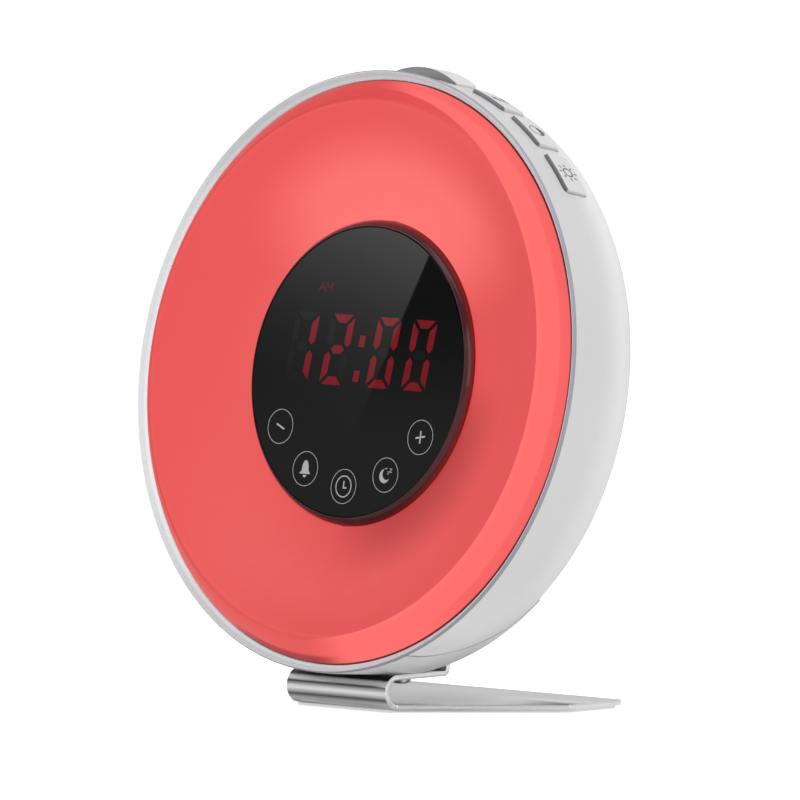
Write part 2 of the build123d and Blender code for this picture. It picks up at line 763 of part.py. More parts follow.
with BuildPart() as speaker_frame:
    turned(
        (speaker_radius, speaker_seat),
        (speaker_radius, speaker_front),
        (speaker_radius - gasket_width + basket_wall, speaker_front),
        (magnet_radius + basket_wall, basket_front),
        (basket_hole, basket_front),
        (basket_hole, basket_front - basket_wall),
        (magnet_radius, basket_front - basket_wall),
        (speaker_radius - gasket_width, speaker_seat),
    )
save(speaker_frame, "speaker_frame")

cone_rim, cone_back = speaker_radius - cone_gap, speaker_seat + cone_wall
cap_back = speaker_seat + cone_height
with BuildPart() as speaker_cone:
    turned(
        (0, cap_back + cone_wall),
        (basket_hole, cap_back + cone_wall),
        (basket_hole, cap_back + cone_drop),
        (cone_rim - cone_roll, cone_back + cone_wall),
        (cone_rim, cone_back + cone_wall),
        (cone_rim, cone_back),
        (cone_rim - cone_roll, cone_back),
        (basket_hole, cap_back),
        (0, cap_back),
    )
save(speaker_cone, "speaker_cone")

with BuildPart() as speaker_magnet:
    post(0, 0, magnet_radius, basket_front, basket_front + magnet_height)
    chamfer(speaker_magnet.edges().group_by(disc_axis)[-1], magnet_edge)
save(speaker_magnet, "speaker_magnet")

# ---------------------------------------------------------------- clock back-up cell
cell_seat = pocket_floor - cell_cover
holder_back = pocket_floor - holder_height
with BuildPart() as cell_holder:
    block(door_x, door_y + cell_y, holder_width, holder_width, holder_back, pocket_floor, 1.0)
    post(door_x, door_y + cell_y, cell_radius + clearance, holder_back, cell_seat, mode=Mode.SUBTRACT)
save(cell_holder, "cell_holder")

with BuildPart() as coin_cell:
    post(door_x, door_y + cell_y, cell_radius, cell_seat - cell_thickness, cell_seat)
    chamfer(coin_cell.edges().group_by(disc_axis)[0], 0.5)
save(coin_cell, "coin_cell")

door_screw_seat = back_face(hypot(door_x, door_screw_y)) + door_screw_sink
with BuildPart() as battery_door:
    block(door_x, door_y, door_width, door_height, behind, cell_block_front, door_corner)
    housing_form(door_thickness, mode=Mode.SUBTRACT)
    housing_form(0.0, mode=Mode.INTERSECT)
    hole, sink = door_screw_radius + clearance, door_screw_head + clearance
    post(door_x, door_y + door_screw_y, hole, -case_depth, cell_block_front, mode=Mode.SUBTRACT)
    post(door_x, door_y + door_screw_y, sink, -case_depth, door_screw_seat, mode=Mode.SUBTRACT)
save(battery_door, "battery_door")

door_screw_top = door_screw_seat - door_screw_head_height
door_screw_tip = door_screw_seat + door_screw_length
with BuildPart() as battery_door_screw:
    screw_y = door_y + door_screw_y
    post(door_x, screw_y, door_screw_head, door_screw_top, door_screw_seat)
    post(door_x, screw_y, door_screw_radius, door_screw_seat, door_screw_tip)
    slot_length, slot_floor = 1.4 * door_screw_head, door_screw_top + door_screw_head_height / 2
    block(door_x, screw_y, slot_length, screw_slot, door_screw_top, slot_floor, mode=Mode.SUBTRACT)
save(battery_door_screw, "battery_door_screw")


# ---------------------------------------------------------------- keys and snooze button
def cap_column(angle, width, *grow):
    """Straight column under a cap's outline, from the flange out past the wall."""
    with BuildSketch(radial_plane(angle, key_middle, flange_under)) as outline:
        cap_outline(width, *grow)
    extrude(outline.sketch, amount=cap_reach - flange_under)


def inner_parts(angle, width):
    """Flange that follows the inside of the wall, and the stem that presses the switch."""
    cap_column(angle, width, flange_sides, flange_ends)
    housing_form(housing_wall + slide_gap, mode=Mode.INTERSECT)
    with BuildSketch(radial_plane(angle, switch_middle, stem_end)) as stem:
        Circle(stem_radius)
    extrude(stem.sketch, amount=flange_under - stem_end)


for name, angle in keys.items():
    with BuildPart() as cap:
        cap_column(angle, key_width)
        # proud of the wall at the front edge, level with it at the rear edge
        turned(
            (0, 0),
            (0, -2 * key_rear),
            (key_rear_radius + key_rear_proud, -key_rear),
            (wall_end_radius + key_proud, -key_front),
            (wall_end_radius + key_proud, 0),
            mode=Mode.INTERSECT,
        )
        outward = Axis(disc_centre, radial_plane(angle, 0, 0).z_dir)
        fillet(cap.faces().sort_by(outward)[-1].edges(), key_edge)
    with BuildPart() as key:
        inner_parts(angle, key_width)
        add(cap.part)
    save(key, name)

with BuildPart() as snooze_cap:
    cap_column(snooze_angle, snooze_width)
    crown = wall_end_radius + snooze_proud - snooze_crown
    across = radial_plane(snooze_angle, key_middle, 0)
    with BuildSketch(Plane(origin=across.origin, x_dir=across.x_dir, z_dir=-forward)):
        with Locations((0, crown)):
            Circle(snooze_crown)
    extrude(amount=key_length * 2, both=True, mode=Mode.INTERSECT)
    fillet(snooze_cap.faces().sort_by(Axis(disc_centre, across.z_dir))[-1].edges(), snooze_edge)

with BuildPart() as snooze_button:
    inner_parts(snooze_angle, snooze_width)
    add(snooze_cap.part)
save(snooze_button, "snooze_button")

bracket_from, bracket_to = key_first - bracket_margin, snooze_angle + bracket_margin
with BuildPart() as switch_bracket:
    with BuildSketch(face.offset(tray_back)):
        with BuildLine():
            inner = CenterArc((0, 0), bracket_outer - bracket_wall, bracket_from, bracket_to - bracket_from)
            outer = CenterArc((0, 0), bracket_outer, bracket_from, bracket_to - bracket_from)
            Line(inner @ 0, outer @ 0)
            Line(inner @ 1, outer @ 1)
        make_face()
    extrude(amount=-bracket_depth)
save(switch_bracket, "switch_bracket")

with BuildPart() as tact_switches:
    for angle in (*keys.values(), snooze_angle):
        top = snooze_switch_top if angle == snooze_angle else switch_top
        with BuildSketch(radial_plane(angle, switch_middle, bracket_outer)):
            Rectangle(switch_size, switch_size)
        extrude(amount=top - plunger_height - bracket_outer)
        with BuildSketch(radial_plane(angle, switch_middle, top - plunger_height)):
            Circle(stem_radius)
        extrude(amount=plunger_height)
save(tact_switches, "tact_switches")
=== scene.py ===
from math import atan2, cos, pi, radians, sin, sqrt, tan

import bmesh
import bpy
from mathutils import Matrix, Vector


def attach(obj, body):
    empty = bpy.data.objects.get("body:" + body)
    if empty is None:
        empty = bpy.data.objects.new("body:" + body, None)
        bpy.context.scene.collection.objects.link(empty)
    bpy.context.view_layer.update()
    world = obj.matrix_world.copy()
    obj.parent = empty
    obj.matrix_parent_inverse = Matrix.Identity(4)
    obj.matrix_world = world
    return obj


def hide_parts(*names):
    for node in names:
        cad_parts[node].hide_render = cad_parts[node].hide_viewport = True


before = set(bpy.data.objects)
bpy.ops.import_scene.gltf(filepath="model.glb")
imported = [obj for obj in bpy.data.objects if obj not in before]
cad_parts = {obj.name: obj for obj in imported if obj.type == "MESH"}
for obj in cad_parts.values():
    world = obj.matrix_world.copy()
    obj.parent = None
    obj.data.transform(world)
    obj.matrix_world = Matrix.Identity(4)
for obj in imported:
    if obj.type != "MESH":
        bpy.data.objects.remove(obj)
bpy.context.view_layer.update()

# Lengths in this script are millimetres on the object and metres in Blender.
MM = 0.001

# ------------------------------------------------------------------ sizes of the clock
LEAN = radians(10)
RIGHT = Vector((1, 0, 0))
UP = Vector((0, sin(LEAN), cos(LEAN)))
FORWARD = Vector((0, -cos(LEAN), sin(LEAN)))

BODY_RADIUS, WALL_DRAFT, WALL_DEPTH, FOOT_FLAT = 84.6, 0.2, 11.9, 1.1
WALL_RADIUS, SHOULDER_RADIUS = BODY_RADIUS - WALL_DRAFT, 48.5
SHEET, LEAF_TOP, DISC_Y = 1.5, 10.6, 2.0
DISC_Z = LEAF_TOP + (WALL_RADIUS - FOOT_FLAT) * cos(LEAN) + WALL_DEPTH * sin(LEAN)
CENTRE = Vector((0, DISC_Y, DISC_Z))

# radii from the disc's axis, and places forward of the ring's front edge
RING_RADIUS, RING_INNER, RING_DROP, RING_SIDE, RING_EDGE = 85.0, 82.7, 2.1, 1.4, 0.5
RING_FALL = RING_DROP / (RING_RADIUS - RING_EDGE - RING_INNER)
SEAT, SPIGOT_END, SPIGOT_RADIUS, SPIGOT_WALL = -3.7, -6.6, 83.5, 2.3
RIM_RADIUS, RIM_WALL, CREST_RADIUS, CREST_HEIGHT = 82.5, 2.4, 75.9, 4.3
HUB_RADIUS, HUB_DEPTH, HUB_END, DIFFUSER_WALL = 43.4, 4.2, -8.2, 2.0
GLASS_RADIUS, GLASS_FRONT, GLASS_BACK = 41.0, -1.8, -3.8
BEZEL_RADIUS, BEZEL_SHOULDER, BEZEL_BORE = 43.2, -4.4, 39.1
FLANGE_RADIUS, FLANGE_FRONT, FLANGE_BACK = 48.0, -8.3, -9.8
CASE_BACK = -42.39
KEY_FRONT, KEY_LENGTH, KEY_PROUD, KEY_REAR_PROUD = 10.0, 9.0, 1.3, 0.9
KEY_ANGLES = {"key_light": 45.5, "key_contrast": 57.55, "key_sound": 69.6}

ROUND_STEPS = 360


def disc_frame(lift=0.0):
    """Matrix from the disc's own millimetres (x right, y up, z forward) to the scene."""
    axes = Matrix((RIGHT, UP, FORWARD)).transposed() * MM
    place = axes.to_4x4()
    place.translation = CENTRE * MM
    return place @ Matrix.Translation((0, 0, lift))


ON_DISC = disc_frame()


# ------------------------------------------------------------------ mesh helpers
def add_object(name, data):
    thing = bpy.data.objects.new(name, data)
    bpy.context.scene.collection.objects.link(thing)
    return thing


def settle(thing, body, slot, *nodes):
    """States the body a piece rides on and the solids it stands for; the material slot is not used."""
    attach(thing, body)
    if nodes:
        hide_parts(*nodes)


def finished_mesh(thing):
    """The object's mesh with its modifiers applied."""
    return bpy.data.meshes.new_from_object(thing.evaluated_get(bpy.context.evaluated_depsgraph_get()))


def as_mesh(work, name):
    """Ends a bmesh and gives its mesh."""
    mesh = bpy.data.meshes.new(name)
    work.to_mesh(mesh)
    work.free()
    return mesh


def smooth(mesh, sharp):
    """Smooths all but the edges that are sharper than an angle in degrees."""
    mesh.polygons.foreach_set("use_smooth", [True] * len(mesh.polygons))
    mesh.set_sharp_from_angle(angle=radians(sharp))


def tidy(mesh, sharp):
    """Merges doubles, turns the faces outwards and smooths all but the sharp edges."""
    work = bmesh.new()
    work.from_mesh(mesh)
    bmesh.ops.remove_doubles(work, verts=work.verts, dist=1e-6)
    bmesh.ops.recalc_face_normals(work, faces=work.faces)
    work.to_mesh(mesh)
    work.free()
    smooth(mesh, sharp)
    mesh.update()


def rounded_corner(start, corner, end, cuts):
    """Points of a smooth curve from start to end that a corner pulls towards itself."""
    steps = [k / cuts for k in range(cuts + 1)]
    return [tuple(start * (1 - t) ** 2 + corner * 2 * t * (1 - t) + end * t**2) for t in steps]


def soften(outline, radius, cuts=3):
    """A closed outline with each corner rounded."""
    rounded = []
    for i, corner in enumerate(outline):
        here = Vector(corner)
        back, ahead = Vector(outline[i - 1]) - here, Vector(outline[(i + 1) % len(outline)]) - here
        reach = min(radius, 0.45 * back.length, 0.45 * ahead.length)
        start, end = here + back.normalized() * reach, here + ahead.normalized() * reach
        rounded += rounded_corner(start, here, end, cuts)
    return rounded


def joined_runs(before, after, radius):
    """Joins two runs of points that share a corner with a smooth curve round it."""
    corner = Vector(before[-1])
    head = [p for p in before if (Vector(p) - corner).length > radius]
    tail = [p for p in after if (Vector(p) - corner).length > radius]
    return head + rounded_corner(Vector(head[-1]), corner, Vector(tail[0]), 10)[1:-1] + tail


def arc_points(start, end, slope, count):
    """Points on the arc from start to end that leaves start at the slope, in radians."""
    chord = Vector(end) - Vector(start)
    turn = 2 * (atan2(chord.y, chord.x) - slope)
    radius = chord.length / 2 / sin(turn / 2)
    middle = Vector(start) + radius * Vector((-sin(slope), cos(slope)))
    angles = [slope - pi / 2 + turn * k / count for k in range(count + 1)]
    return [tuple(middle + radius * Vector((cos(a), sin(a)))) for a in angles]


def bowed_line(start, end, bow, count):
    """Points from start to end on a line that bulges outwards and forwards by the bow."""
    points = []
    for k in range(count + 1):
        t = k / count
        lift = 4 * t * (1 - t) * bow * sqrt(0.5)
        points.append(tuple(a + (b - a) * t + lift for a, b in zip(start, end)))
    return points


def turned(name, outline, materials, pick=None, sharp=30):
    """A piece turned about the disc's axis from a closed (radius, forward) outline."""
    points, faces = [], []
    count = len(outline)
    for step in range(ROUND_STEPS):
        angle = 2 * pi * step / ROUND_STEPS
        points += [(r * cos(angle), r * sin(angle), n) for r, n in outline]
        here, there = step * count, (step + 1) % ROUND_STEPS * count
        for i in range(count):
            j = (i + 1) % count
            faces.append((here + i, here + j, there + j, there + i))
    mesh = bpy.data.meshes.new(name)
    mesh.from_pydata(points, [], faces)
    for material in materials:
        mesh.materials.append(material)
    if pick:
        for polygon in mesh.polygons:
            i = polygon.index % count
            middle = (Vector(outline[i]) + Vector(outline[(i + 1) % count])) / 2
            polygon.material_index = pick(*middle)
    mesh.transform(ON_DISC)
    tidy(mesh, sharp)
    return add_object(name, mesh)


def shell_radius(depth):
    """Outer radius of the housing's side wall at a depth behind the ring."""
    past = max(depth - WALL_DEPTH, 0)
    return WALL_RADIUS - SHOULDER_RADIUS + sqrt(SHOULDER_RADIUS**2 - past**2)


def dressed(node, name, material, edge):
    """A copy of a solid with merged corners and softly rounded edges; it stands for the solid."""
    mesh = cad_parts[node].data.copy()
    mesh.materials.clear()
    mesh.materials.append(material)
    for attribute in [a.name for a in mesh.attributes if a.name.startswith("custom_normal")]:
        mesh.attributes.remove(mesh.attributes[attribute])
    work = bmesh.new()
    work.from_mesh(mesh)
    bmesh.ops.remove_doubles(work, verts=work.verts, dist=2e-6)
    bmesh.ops.dissolve_limit(work, angle_limit=radians(1), verts=work.verts, edges=work.edges)
    work.to_mesh(mesh)
    work.free()
    thing = add_object(name, mesh)
    sharp = 30
    bevel = thing.modifiers.new("rounded_edges", "BEVEL")
    bevel.width, bevel.segments = edge * MM, 2
    bevel.limit_method, bevel.angle_limit = "ANGLE", radians(sharp)
    bevel.use_clamp_overlap = True
    finished = finished_mesh(thing)
    thing.modifiers.clear()
    thing.data = finished
    finished.name = name
    smooth(finished, sharp)
    return thing


# ------------------------------------------------------------------ flat prints
def circle(x, y, radius, steps=48, start=0.0, sweep=2 * pi):
    full = abs(sweep - 2 * pi) < 1e-9
    angles = [start + sweep * k / steps for k in range(steps if full else steps + 1)]
    return [(x + radius * cos(angle), y + radius * sin(angle)) for angle in angles]


def ring_loops(x, y, radius, line):
    return [circle(x, y, radius + line / 2), circle(x, y, radius - line / 2)]


def arc_stroke(x, y, radius, line, start, sweep):
    outer, inner = (circle(x, y, radius + side * line / 2, 20, start, sweep) for side in (1, -1))
    return outer + inner[::-1]


def stroke(x0, y0, x1, y1, line):
    """A straight stroke with square ends."""
    along = Vector((x1 - x0, y1 - y0)).normalized()
    across = Vector((-along.y, along.x)) * line / 2
    start, end = Vector((x0, y0)), Vector((x1, y1))
    return [tuple(start + across), tuple(start - across), tuple(end - across), tuple(end + across)]


def flat_print(loops, thickness):
    """A thin solid on the local XY plane from closed loops; a loop inside another is a hole."""
    curve = bpy.data.curves.new("print_outline", "CURVE")
    curve.dimensions = "2D"
    curve.fill_mode = "BOTH"
    curve.extrude = thickness / 2
    for loop in loops:
        spline = curve.splines.new("POLY")
        spline.points.add(len(loop) - 1)
        for point, (x, y) in zip(spline.points, loop):
            point.co = (x, y, 0, 1)
        spline.use_cyclic_u = True
    holder = add_object("print_outline", curve)
    mesh = finished_mesh(holder)
    bpy.data.objects.remove(holder)
    bpy.data.curves.remove(curve)
    return mesh


def join_prints(name, groups, material, thickness, slot, body="clock", bend=None):
    """Several flat prints made into one piece on the window, or on a curved face with bend."""
    work = bmesh.new()
    for group in groups:
        mesh = flat_print(group, thickness)
        work.from_mesh(mesh)
        bpy.data.meshes.remove(mesh)
    mesh = as_mesh(work, name)
    mesh.materials.append(material)
    if bend:
        for vertex in mesh.vertices:
            vertex.co = bend(vertex.co)
    else:
        mesh.transform(disc_frame(GLASS_FRONT + thickness / 2))
    settle(add_object(name, mesh), body, slot)


# ------------------------------------------------------------------ node helpers
def linear(shade):
    """A screen colour, 0 to 255, as scene values; a node's output stays as it is."""
    if not isinstance(shade, tuple):
        return shade
    values = [c / 255 for c in shade]
    return tuple(c / 12.92 if c <= 0.04045 else ((c + 0.055) / 1.055) ** 2.4 for c in values) + (1.0,)


def grey(level):
    return (level, level, level)


class Nodes:
    """A node tree with short ways to add nodes and feed them."""

    def __init__(self, tree):
        self.tree = tree

    def feed(self, socket, value):
        """Gives a socket a fixed value or another node's output."""
        if isinstance(value, bpy.types.NodeSocket):
            self.tree.links.new(value, socket)
        else:
            socket.default_value = value

    def node(self, kind, feeds=None, **options):
        """Adds a node, sets its options and feeds its sockets, which are named or numbered."""
        made = self.tree.nodes.new(kind)
        for option, value in options.items():
            setattr(made, option, value)
        for socket, value in (feeds or {}).items():
            self.feed(made.inputs[socket], value)
        return made

    def math(self, operation, first, second):
        return self.node("ShaderNodeMath", {0: first, 1: second}, operation=operation).outputs[0]

    def point(self, x=0.0, y=0.0, z=0.0):
        return self.node("ShaderNodeCombineXYZ", {0: x, 1: y, 2: z}).outputs[0]

    def part(self, source, axis):
        return self.node("ShaderNodeSeparateXYZ", {0: source}).outputs[axis]

    def spread(self, source, low, high, a=0.0, b=1.0):
        """The source with a taken to low and b to high, and held outside them."""
        feeds = {"Value": source, "From Min": a, "From Max": b, "To Min": low, "To Max": high}
        return self.node("ShaderNodeMapRange", feeds).outputs["Result"]

    def ramp(self, source, stops):
        """Grey that follows the source through stops of a position and a level."""
        made = self.node("ShaderNodeValToRGB", {"Fac": source})
        elements = made.color_ramp.elements
        while len(elements) < len(stops):
            elements.new(0.5)
        for element, (position, level) in zip(elements, stops):
            element.position = position
            element.color = grey(level) + (1,)
        return made.outputs["Color"]


# ------------------------------------------------------------------ materials
class Finish(Nodes):
    """A material painted by place on the object."""

    def __init__(self, name, shade, rough, metal=0.0):
        self.material = bpy.data.materials.new(name)
        self.material.use_nodes = True
        super().__init__(self.material.node_tree)
        self.shader = self.tree.nodes["Principled BSDF"]
        self.rough = rough
        self.give("Base Color", shade)
        self.give("Roughness", rough)
        self.give("Metallic", metal)
        self.place = self.node("ShaderNodeTexCoord").outputs["Object"]

    def give(self, socket, value):
        """Feeds a socket of the shader; three numbers are a screen colour."""
        self.feed(self.shader.inputs[socket], linear(value))

    def glow(self, shade, strength=1.0):
        self.give("Emission Color", shade)
        self.give("Emission Strength", strength)

    def vector(self, operation, source, other=None):
        """Vector math with a fixed vector; gives the one output that the operation has."""
        feeds = {0: source} if other is None else {0: source, 1: other}
        made = self.node("ShaderNodeVectorMath", feeds, operation=operation)
        return next(output for output in made.outputs if output.enabled)

    def normal(self):
        return self.node("ShaderNodeNewGeometry").outputs["Normal"]

    def noise(self, scale, stretch=None):
        place = self.place
        if stretch:
            place = self.node("ShaderNodeMapping", {"Vector": place, "Scale": stretch}).outputs[0]
        feeds = {"Vector": place, "Scale": scale, "Detail": 3.0}
        return self.node("ShaderNodeTexNoise", feeds).outputs["Fac"]

    def uneven(self, scale, amount, stretch=None):
        """Roughness that varies a little over the surface."""
        low, high = max(self.rough - amount, 0.02), self.rough + amount
        self.give("Roughness", self.spread(self.noise(scale, stretch), low, high, 0.3, 0.7))

    def bumpy(self, scale, height, stretch=None):
        """A grain of a height in millimetres."""
        feeds = {"Distance": height * MM, "Strength": 1.0, "Height": self.noise(scale, stretch)}
        self.give("Normal", self.node("ShaderNodeBump", feeds).outputs["Normal"])

    def brushed(self):
        """Fine brushing along X."""
        self.uneven(40, 0.06, stretch=(3, 160, 160))
        self.bumpy(60, 0.003, stretch=(2, 300, 300))

    def band(self, source, low, high):
        """0 at low, 1 at high, with soft ends."""
        feeds = {"Value": source, "From Min": low, "From Max": high}
        return self.node("ShaderNodeMapRange", feeds, interpolation_type="SMOOTHSTEP").outputs["Result"]

    def span(self, source, low, high):
        """0 to 1 between two places given in millimetres."""
        return self.band(source, low * MM, high * MM)

    def mix(self, amount, first, second):
        """Two shades mixed, each a screen colour or a node's output."""
        feeds = {"Factor": amount, "A": linear(first), "B": linear(second)}
        return self.node("ShaderNodeMix", feeds, data_type="RGBA").outputs["Result"]

    def drift(self, scale, first, second, reach=0.2):
        """A shade that drifts between two close ones."""
        return self.mix(self.spread(self.noise(scale), 0, 1, 0.5 - reach, 0.5 + reach), first, second)


class DiscFinish(Finish):
    """A finish painted by height, forward place and radius on the disc."""

    def __init__(self, name, shade, rough):
        super().__init__(name, shade, rough)
        offset = self.vector("SUBTRACT", self.place, CENTRE * MM)
        across, self.height, self.ahead = (
            self.vector("DOT_PRODUCT", offset, axis) for axis in (RIGHT, UP, FORWARD)
        )
        self.flat = self.point(across, self.height)
        self.radius = self.vector("LENGTH", self.flat)

    def toward(self, angle, low, high):
        """0 to 1 as a place turns towards an angle in degrees, between two cosines."""
        direction = (cos(radians(angle)), sin(radians(angle)), 0)
        cosine = self.vector("DOT_PRODUCT", self.vector("NORMALIZE", self.flat), direction)
        return self.band(cosine, low, high)

    def patch(self, side, radii):
        """0 to 1 on one side of the disc and between two radii."""
        return self.math("MULTIPLY", self.toward(*side), self.span(self.radius, *radii))


def lit_diffuser_finish():
    """Milky cap lit red from behind, with painted light and shade in its glow: painted light above the
    hub, painted shade below it, a painted highlight on the outer slope.
    """
    left, right, bright, deep = (222, 83, 83), (213, 76, 76), (243, 110, 107), (175, 57, 57)
    slope_right, slope_left, crescent = (218, 82, 81), (202, 62, 61), (246, 108, 105)
    rim, shaded, joint = (238, 98, 97), (150, 46, 46), (46, 10, 12)
    made = DiscFinish("lit_diffuser", (84, 22, 22), 0.42)
    radius = made.radius
    # painted shade: the glow a little darker towards the lower right
    shade = made.mix(made.toward(330, -0.3, 0.6), left, right)
    # painted light in a lobe above the hub, and painted shade in the deeper one below it
    shade = made.mix(made.patch((85, 0.42, 0.95), (73, 54)), shade, bright)
    shade = made.mix(made.patch((313, 0.62, 0.97), (62, 44)), shade, deep)
    # outer slope, painted darker on the left, with a painted highlight, the bright crescent, on the
    # right, outside a circle set a little to the left
    slope = made.mix(made.toward(160, -0.2, 0.7), slope_right, slope_left)
    shade = made.mix(made.span(radius, CREST_RADIUS - 0.4, CREST_RADIUS + 0.6), shade, slope)
    middle, inner, outer = Vector((-4.1, 1.9, 0)), 77.7, 78.1
    beyond = made.span(made.vector("DISTANCE", made.flat, middle * MM), inner, outer)
    shade = made.mix(made.math("MULTIPLY", beyond, made.toward(0, -0.06, 0.2)), shade, crescent)
    # the painted highlight a little dimmer in a band next to the ring, painted shade on the wall at the
    # bottom, and the dark joint
    shade = made.mix(made.patch((15, 0.2, 0.5), (80.1, 80.6)), shade, rim)
    shade = made.mix(made.patch((260, 0.955, 0.99), (80.0, 81.2)), shade, shaded)
    made.glow(made.mix(made.span(radius, 82.1, 82.35), shade, joint))
    made.give("Specular IOR Level", 0.12)
    made.uneven(140, 0.04)
    made.bumpy(2600, 0.002)
    return made.material


def smoky_bezel_finish():
    """Dark red see-through plastic; its glow is painted light: the lit dish painted in at its foot,
    lighter at the top right and painted shade at the bottom left.
    """
    made = DiscFinish("smoky_bezel", (30, 10, 10), 0.12)
    # the whole glow is painted light: the dish's light near the foot, lighter at the top right, painted
    # shade at the bottom left
    foot = made.span(made.ahead, BEZEL_SHOULDER + 1.5, BEZEL_SHOULDER + 0.6)
    side = made.toward(30, -0.5, 0.6)
    face = made.mix(side, (30, 9, 12), (66, 28, 33))
    low = made.mix(side, (42, 8, 9), (112, 22, 20))
    made.glow(made.mix(foot, face, low))
    made.give("Specular IOR Level", 0.25)
    made.bumpy(1800, 0.001)
    return made.material


def ring_finish():
    """Pale silver with a lighter inner border, and painted light, a soft glow, at the top and the left.
    """
    made = DiscFinish("ring_silver", (202, 205, 207), 0.3)
    border = made.span(made.radius, RING_INNER + 1.0, RING_INNER + 0.3)
    face = made.drift(30, (200, 203, 205), (205, 208, 210), 0.15)
    made.give("Base Color", made.mix(border, face, (226, 228, 230)))
    # painted light: a glow towards the top left, strongest at the left
    top = made.mix(made.toward(135, -0.4, 0.3), grey(0), (62, 63, 65))
    made.glow(made.mix(made.toward(180, 0.6, 1.0), top, (134, 136, 138)))
    made.uneven(90, 0.05)
    made.bumpy(1200, 0.001)
    return made.material


def ring_side_finish():
    """Blue-grey outer side of the ring, darker than its face: painted shade."""
    made = Finish("ring_side", (152, 152, 163), 0.22)
    made.give("Base Color", made.drift(30, (150, 150, 161), (154, 154, 165), 0.15))
    made.uneven(90, 0.05)
    return made.material


def shell_finish():
    """Satin white shell with painted light and shade: its front band a little greyer than its back and
    greyer higher up, its foot lighter.
    """
    made = DiscFinish("shell_white", grey(208), 0.32)
    level = made.part(made.place, "Z")
    # painted shade: the front band greyer higher up; painted light: lighter at the foot and over the
    # back
    wall = made.mix(made.span(level, 40, 160), grey(214), grey(199))
    wall = made.mix(made.span(level, 45, 12), wall, grey(244))
    shade = made.mix(made.span(made.ahead, -11.5, -24), wall, grey(227))
    clouds = made.spread(made.noise(12), 0, 0.05, 0.2, 0.8)
    made.give("Base Color", made.mix(clouds, shade, grey(190)))
    made.uneven(60, 0.02)
    made.bumpy(1500, 0.001)
    return made.material


def sheet_finish():
    """Polished stainless sheet with painted reflections: bands along the bend, a painted highlight on
    the cut edges, painted light towards its back.
    """
    made = Finish("brushed_steel", grey(205), 0.2, 1.0)
    made.brushed()
    normal = made.normal()
    # painted reflection: what each slope of the bend would mirror, from facing down to facing up
    stops = (
        (0.0, 0.62), (0.18, 0.74), (0.29, 0.12), (0.37, 0.6), (0.46, 0.92), (0.56, 0.62),
        (0.655, 0.04), (0.72, 0.7), (0.79, 0.66), (0.85, 0.02), (1.0, 0.02),
    )
    bands = made.ramp(made.spread(made.part(normal, "Z"), 0, 1, -1, 1), stops)
    # painted light: paler towards the back
    shade = made.mix(made.span(made.part(made.place, "Y"), 15, 52), grey(205), grey(240))
    # the painted reflection bands on the faces that look forward
    shade = made.mix(made.band(made.part(normal, "Y"), -0.08, -0.24), shade, bands)
    # painted highlight on the cut edges that face right
    shade = made.mix(made.band(made.part(normal, "X"), 0.7, 0.95), shade, grey(252))
    made.give("Base Color", shade)
    return made.material


def screw_finish():
    """Brushed screw heads."""
    made = Finish("screw_steel", (170, 170, 172), 0.3, 1.0)
    made.brushed()
    made.give("Anisotropic", 0.5)
    return made.material


def key_finish():
    """Satin caps; the walls that face forward are painted greyer, painted shade."""
    made = Finish("key_white", (208, 208, 209), 0.36)
    # painted shade on the walls that face forward
    front = made.band(made.vector("DOT_PRODUCT", made.normal(), FORWARD), 0.35, 0.8)
    caps = made.drift(25, (206, 206, 207), (210, 210, 211), 0.15)
    made.give("Base Color", made.mix(front, caps, (110, 111, 113)))
    made.uneven(80, 0.05)
    made.bumpy(1800, 0.003)
    return made.material


WINDOW_ROUGH, WINDOW_GLOSS = 0.015, 0.07


def window_finish():
    """Polished black window, a shade lighter towards its lower edge."""
    made = DiscFinish("black_window", (5, 5, 6), WINDOW_ROUGH)
    made.give("Specular IOR Level", WINDOW_GLOSS)
    deep = made.drift(20, (2, 2, 3), (4, 4, 5))
    made.give("Base Color", made.mix(made.span(made.height, 22, -24), deep, (27, 27, 28)))
    return made.material


def printed_finish(name, shade, lit=False):
    """Print that lies on the polished window and shares its gloss."""
    made = Finish(name, (8, 2, 3), WINDOW_ROUGH)
    made.give("Specular IOR Level", WINDOW_GLOSS)
    ink = made.drift(400, shade, tuple(0.95 * c for c in shade))
    if lit:
        made.glow(ink)
    else:
        made.give("Base Color", ink)
    return made.material


def lamp_finish():
    """Lamp bodies that glow red."""
    glow = (255, 120, 110)
    made = Finish("lamp_bodies", tuple(c // 3 for c in glow), 0.2)
    made.glow(made.drift(500, glow, tuple(0.92 * c for c in glow)))
    made.give("Specular IOR Level", 0.15)
    return made.material


def plain_finish(name, shade, rough, metal=0.0, grain=900.0, height=0.01, glow=0.0):
    """Moulded or cast surface with a fine grain; a glow, where given, is painted light."""
    made = Finish(name, shade, rough, metal)
    made.uneven(grain / 6, 0.05)
    made.bumpy(grain, height)
    if glow:
        made.glow(grey(255), glow)
    return made.material


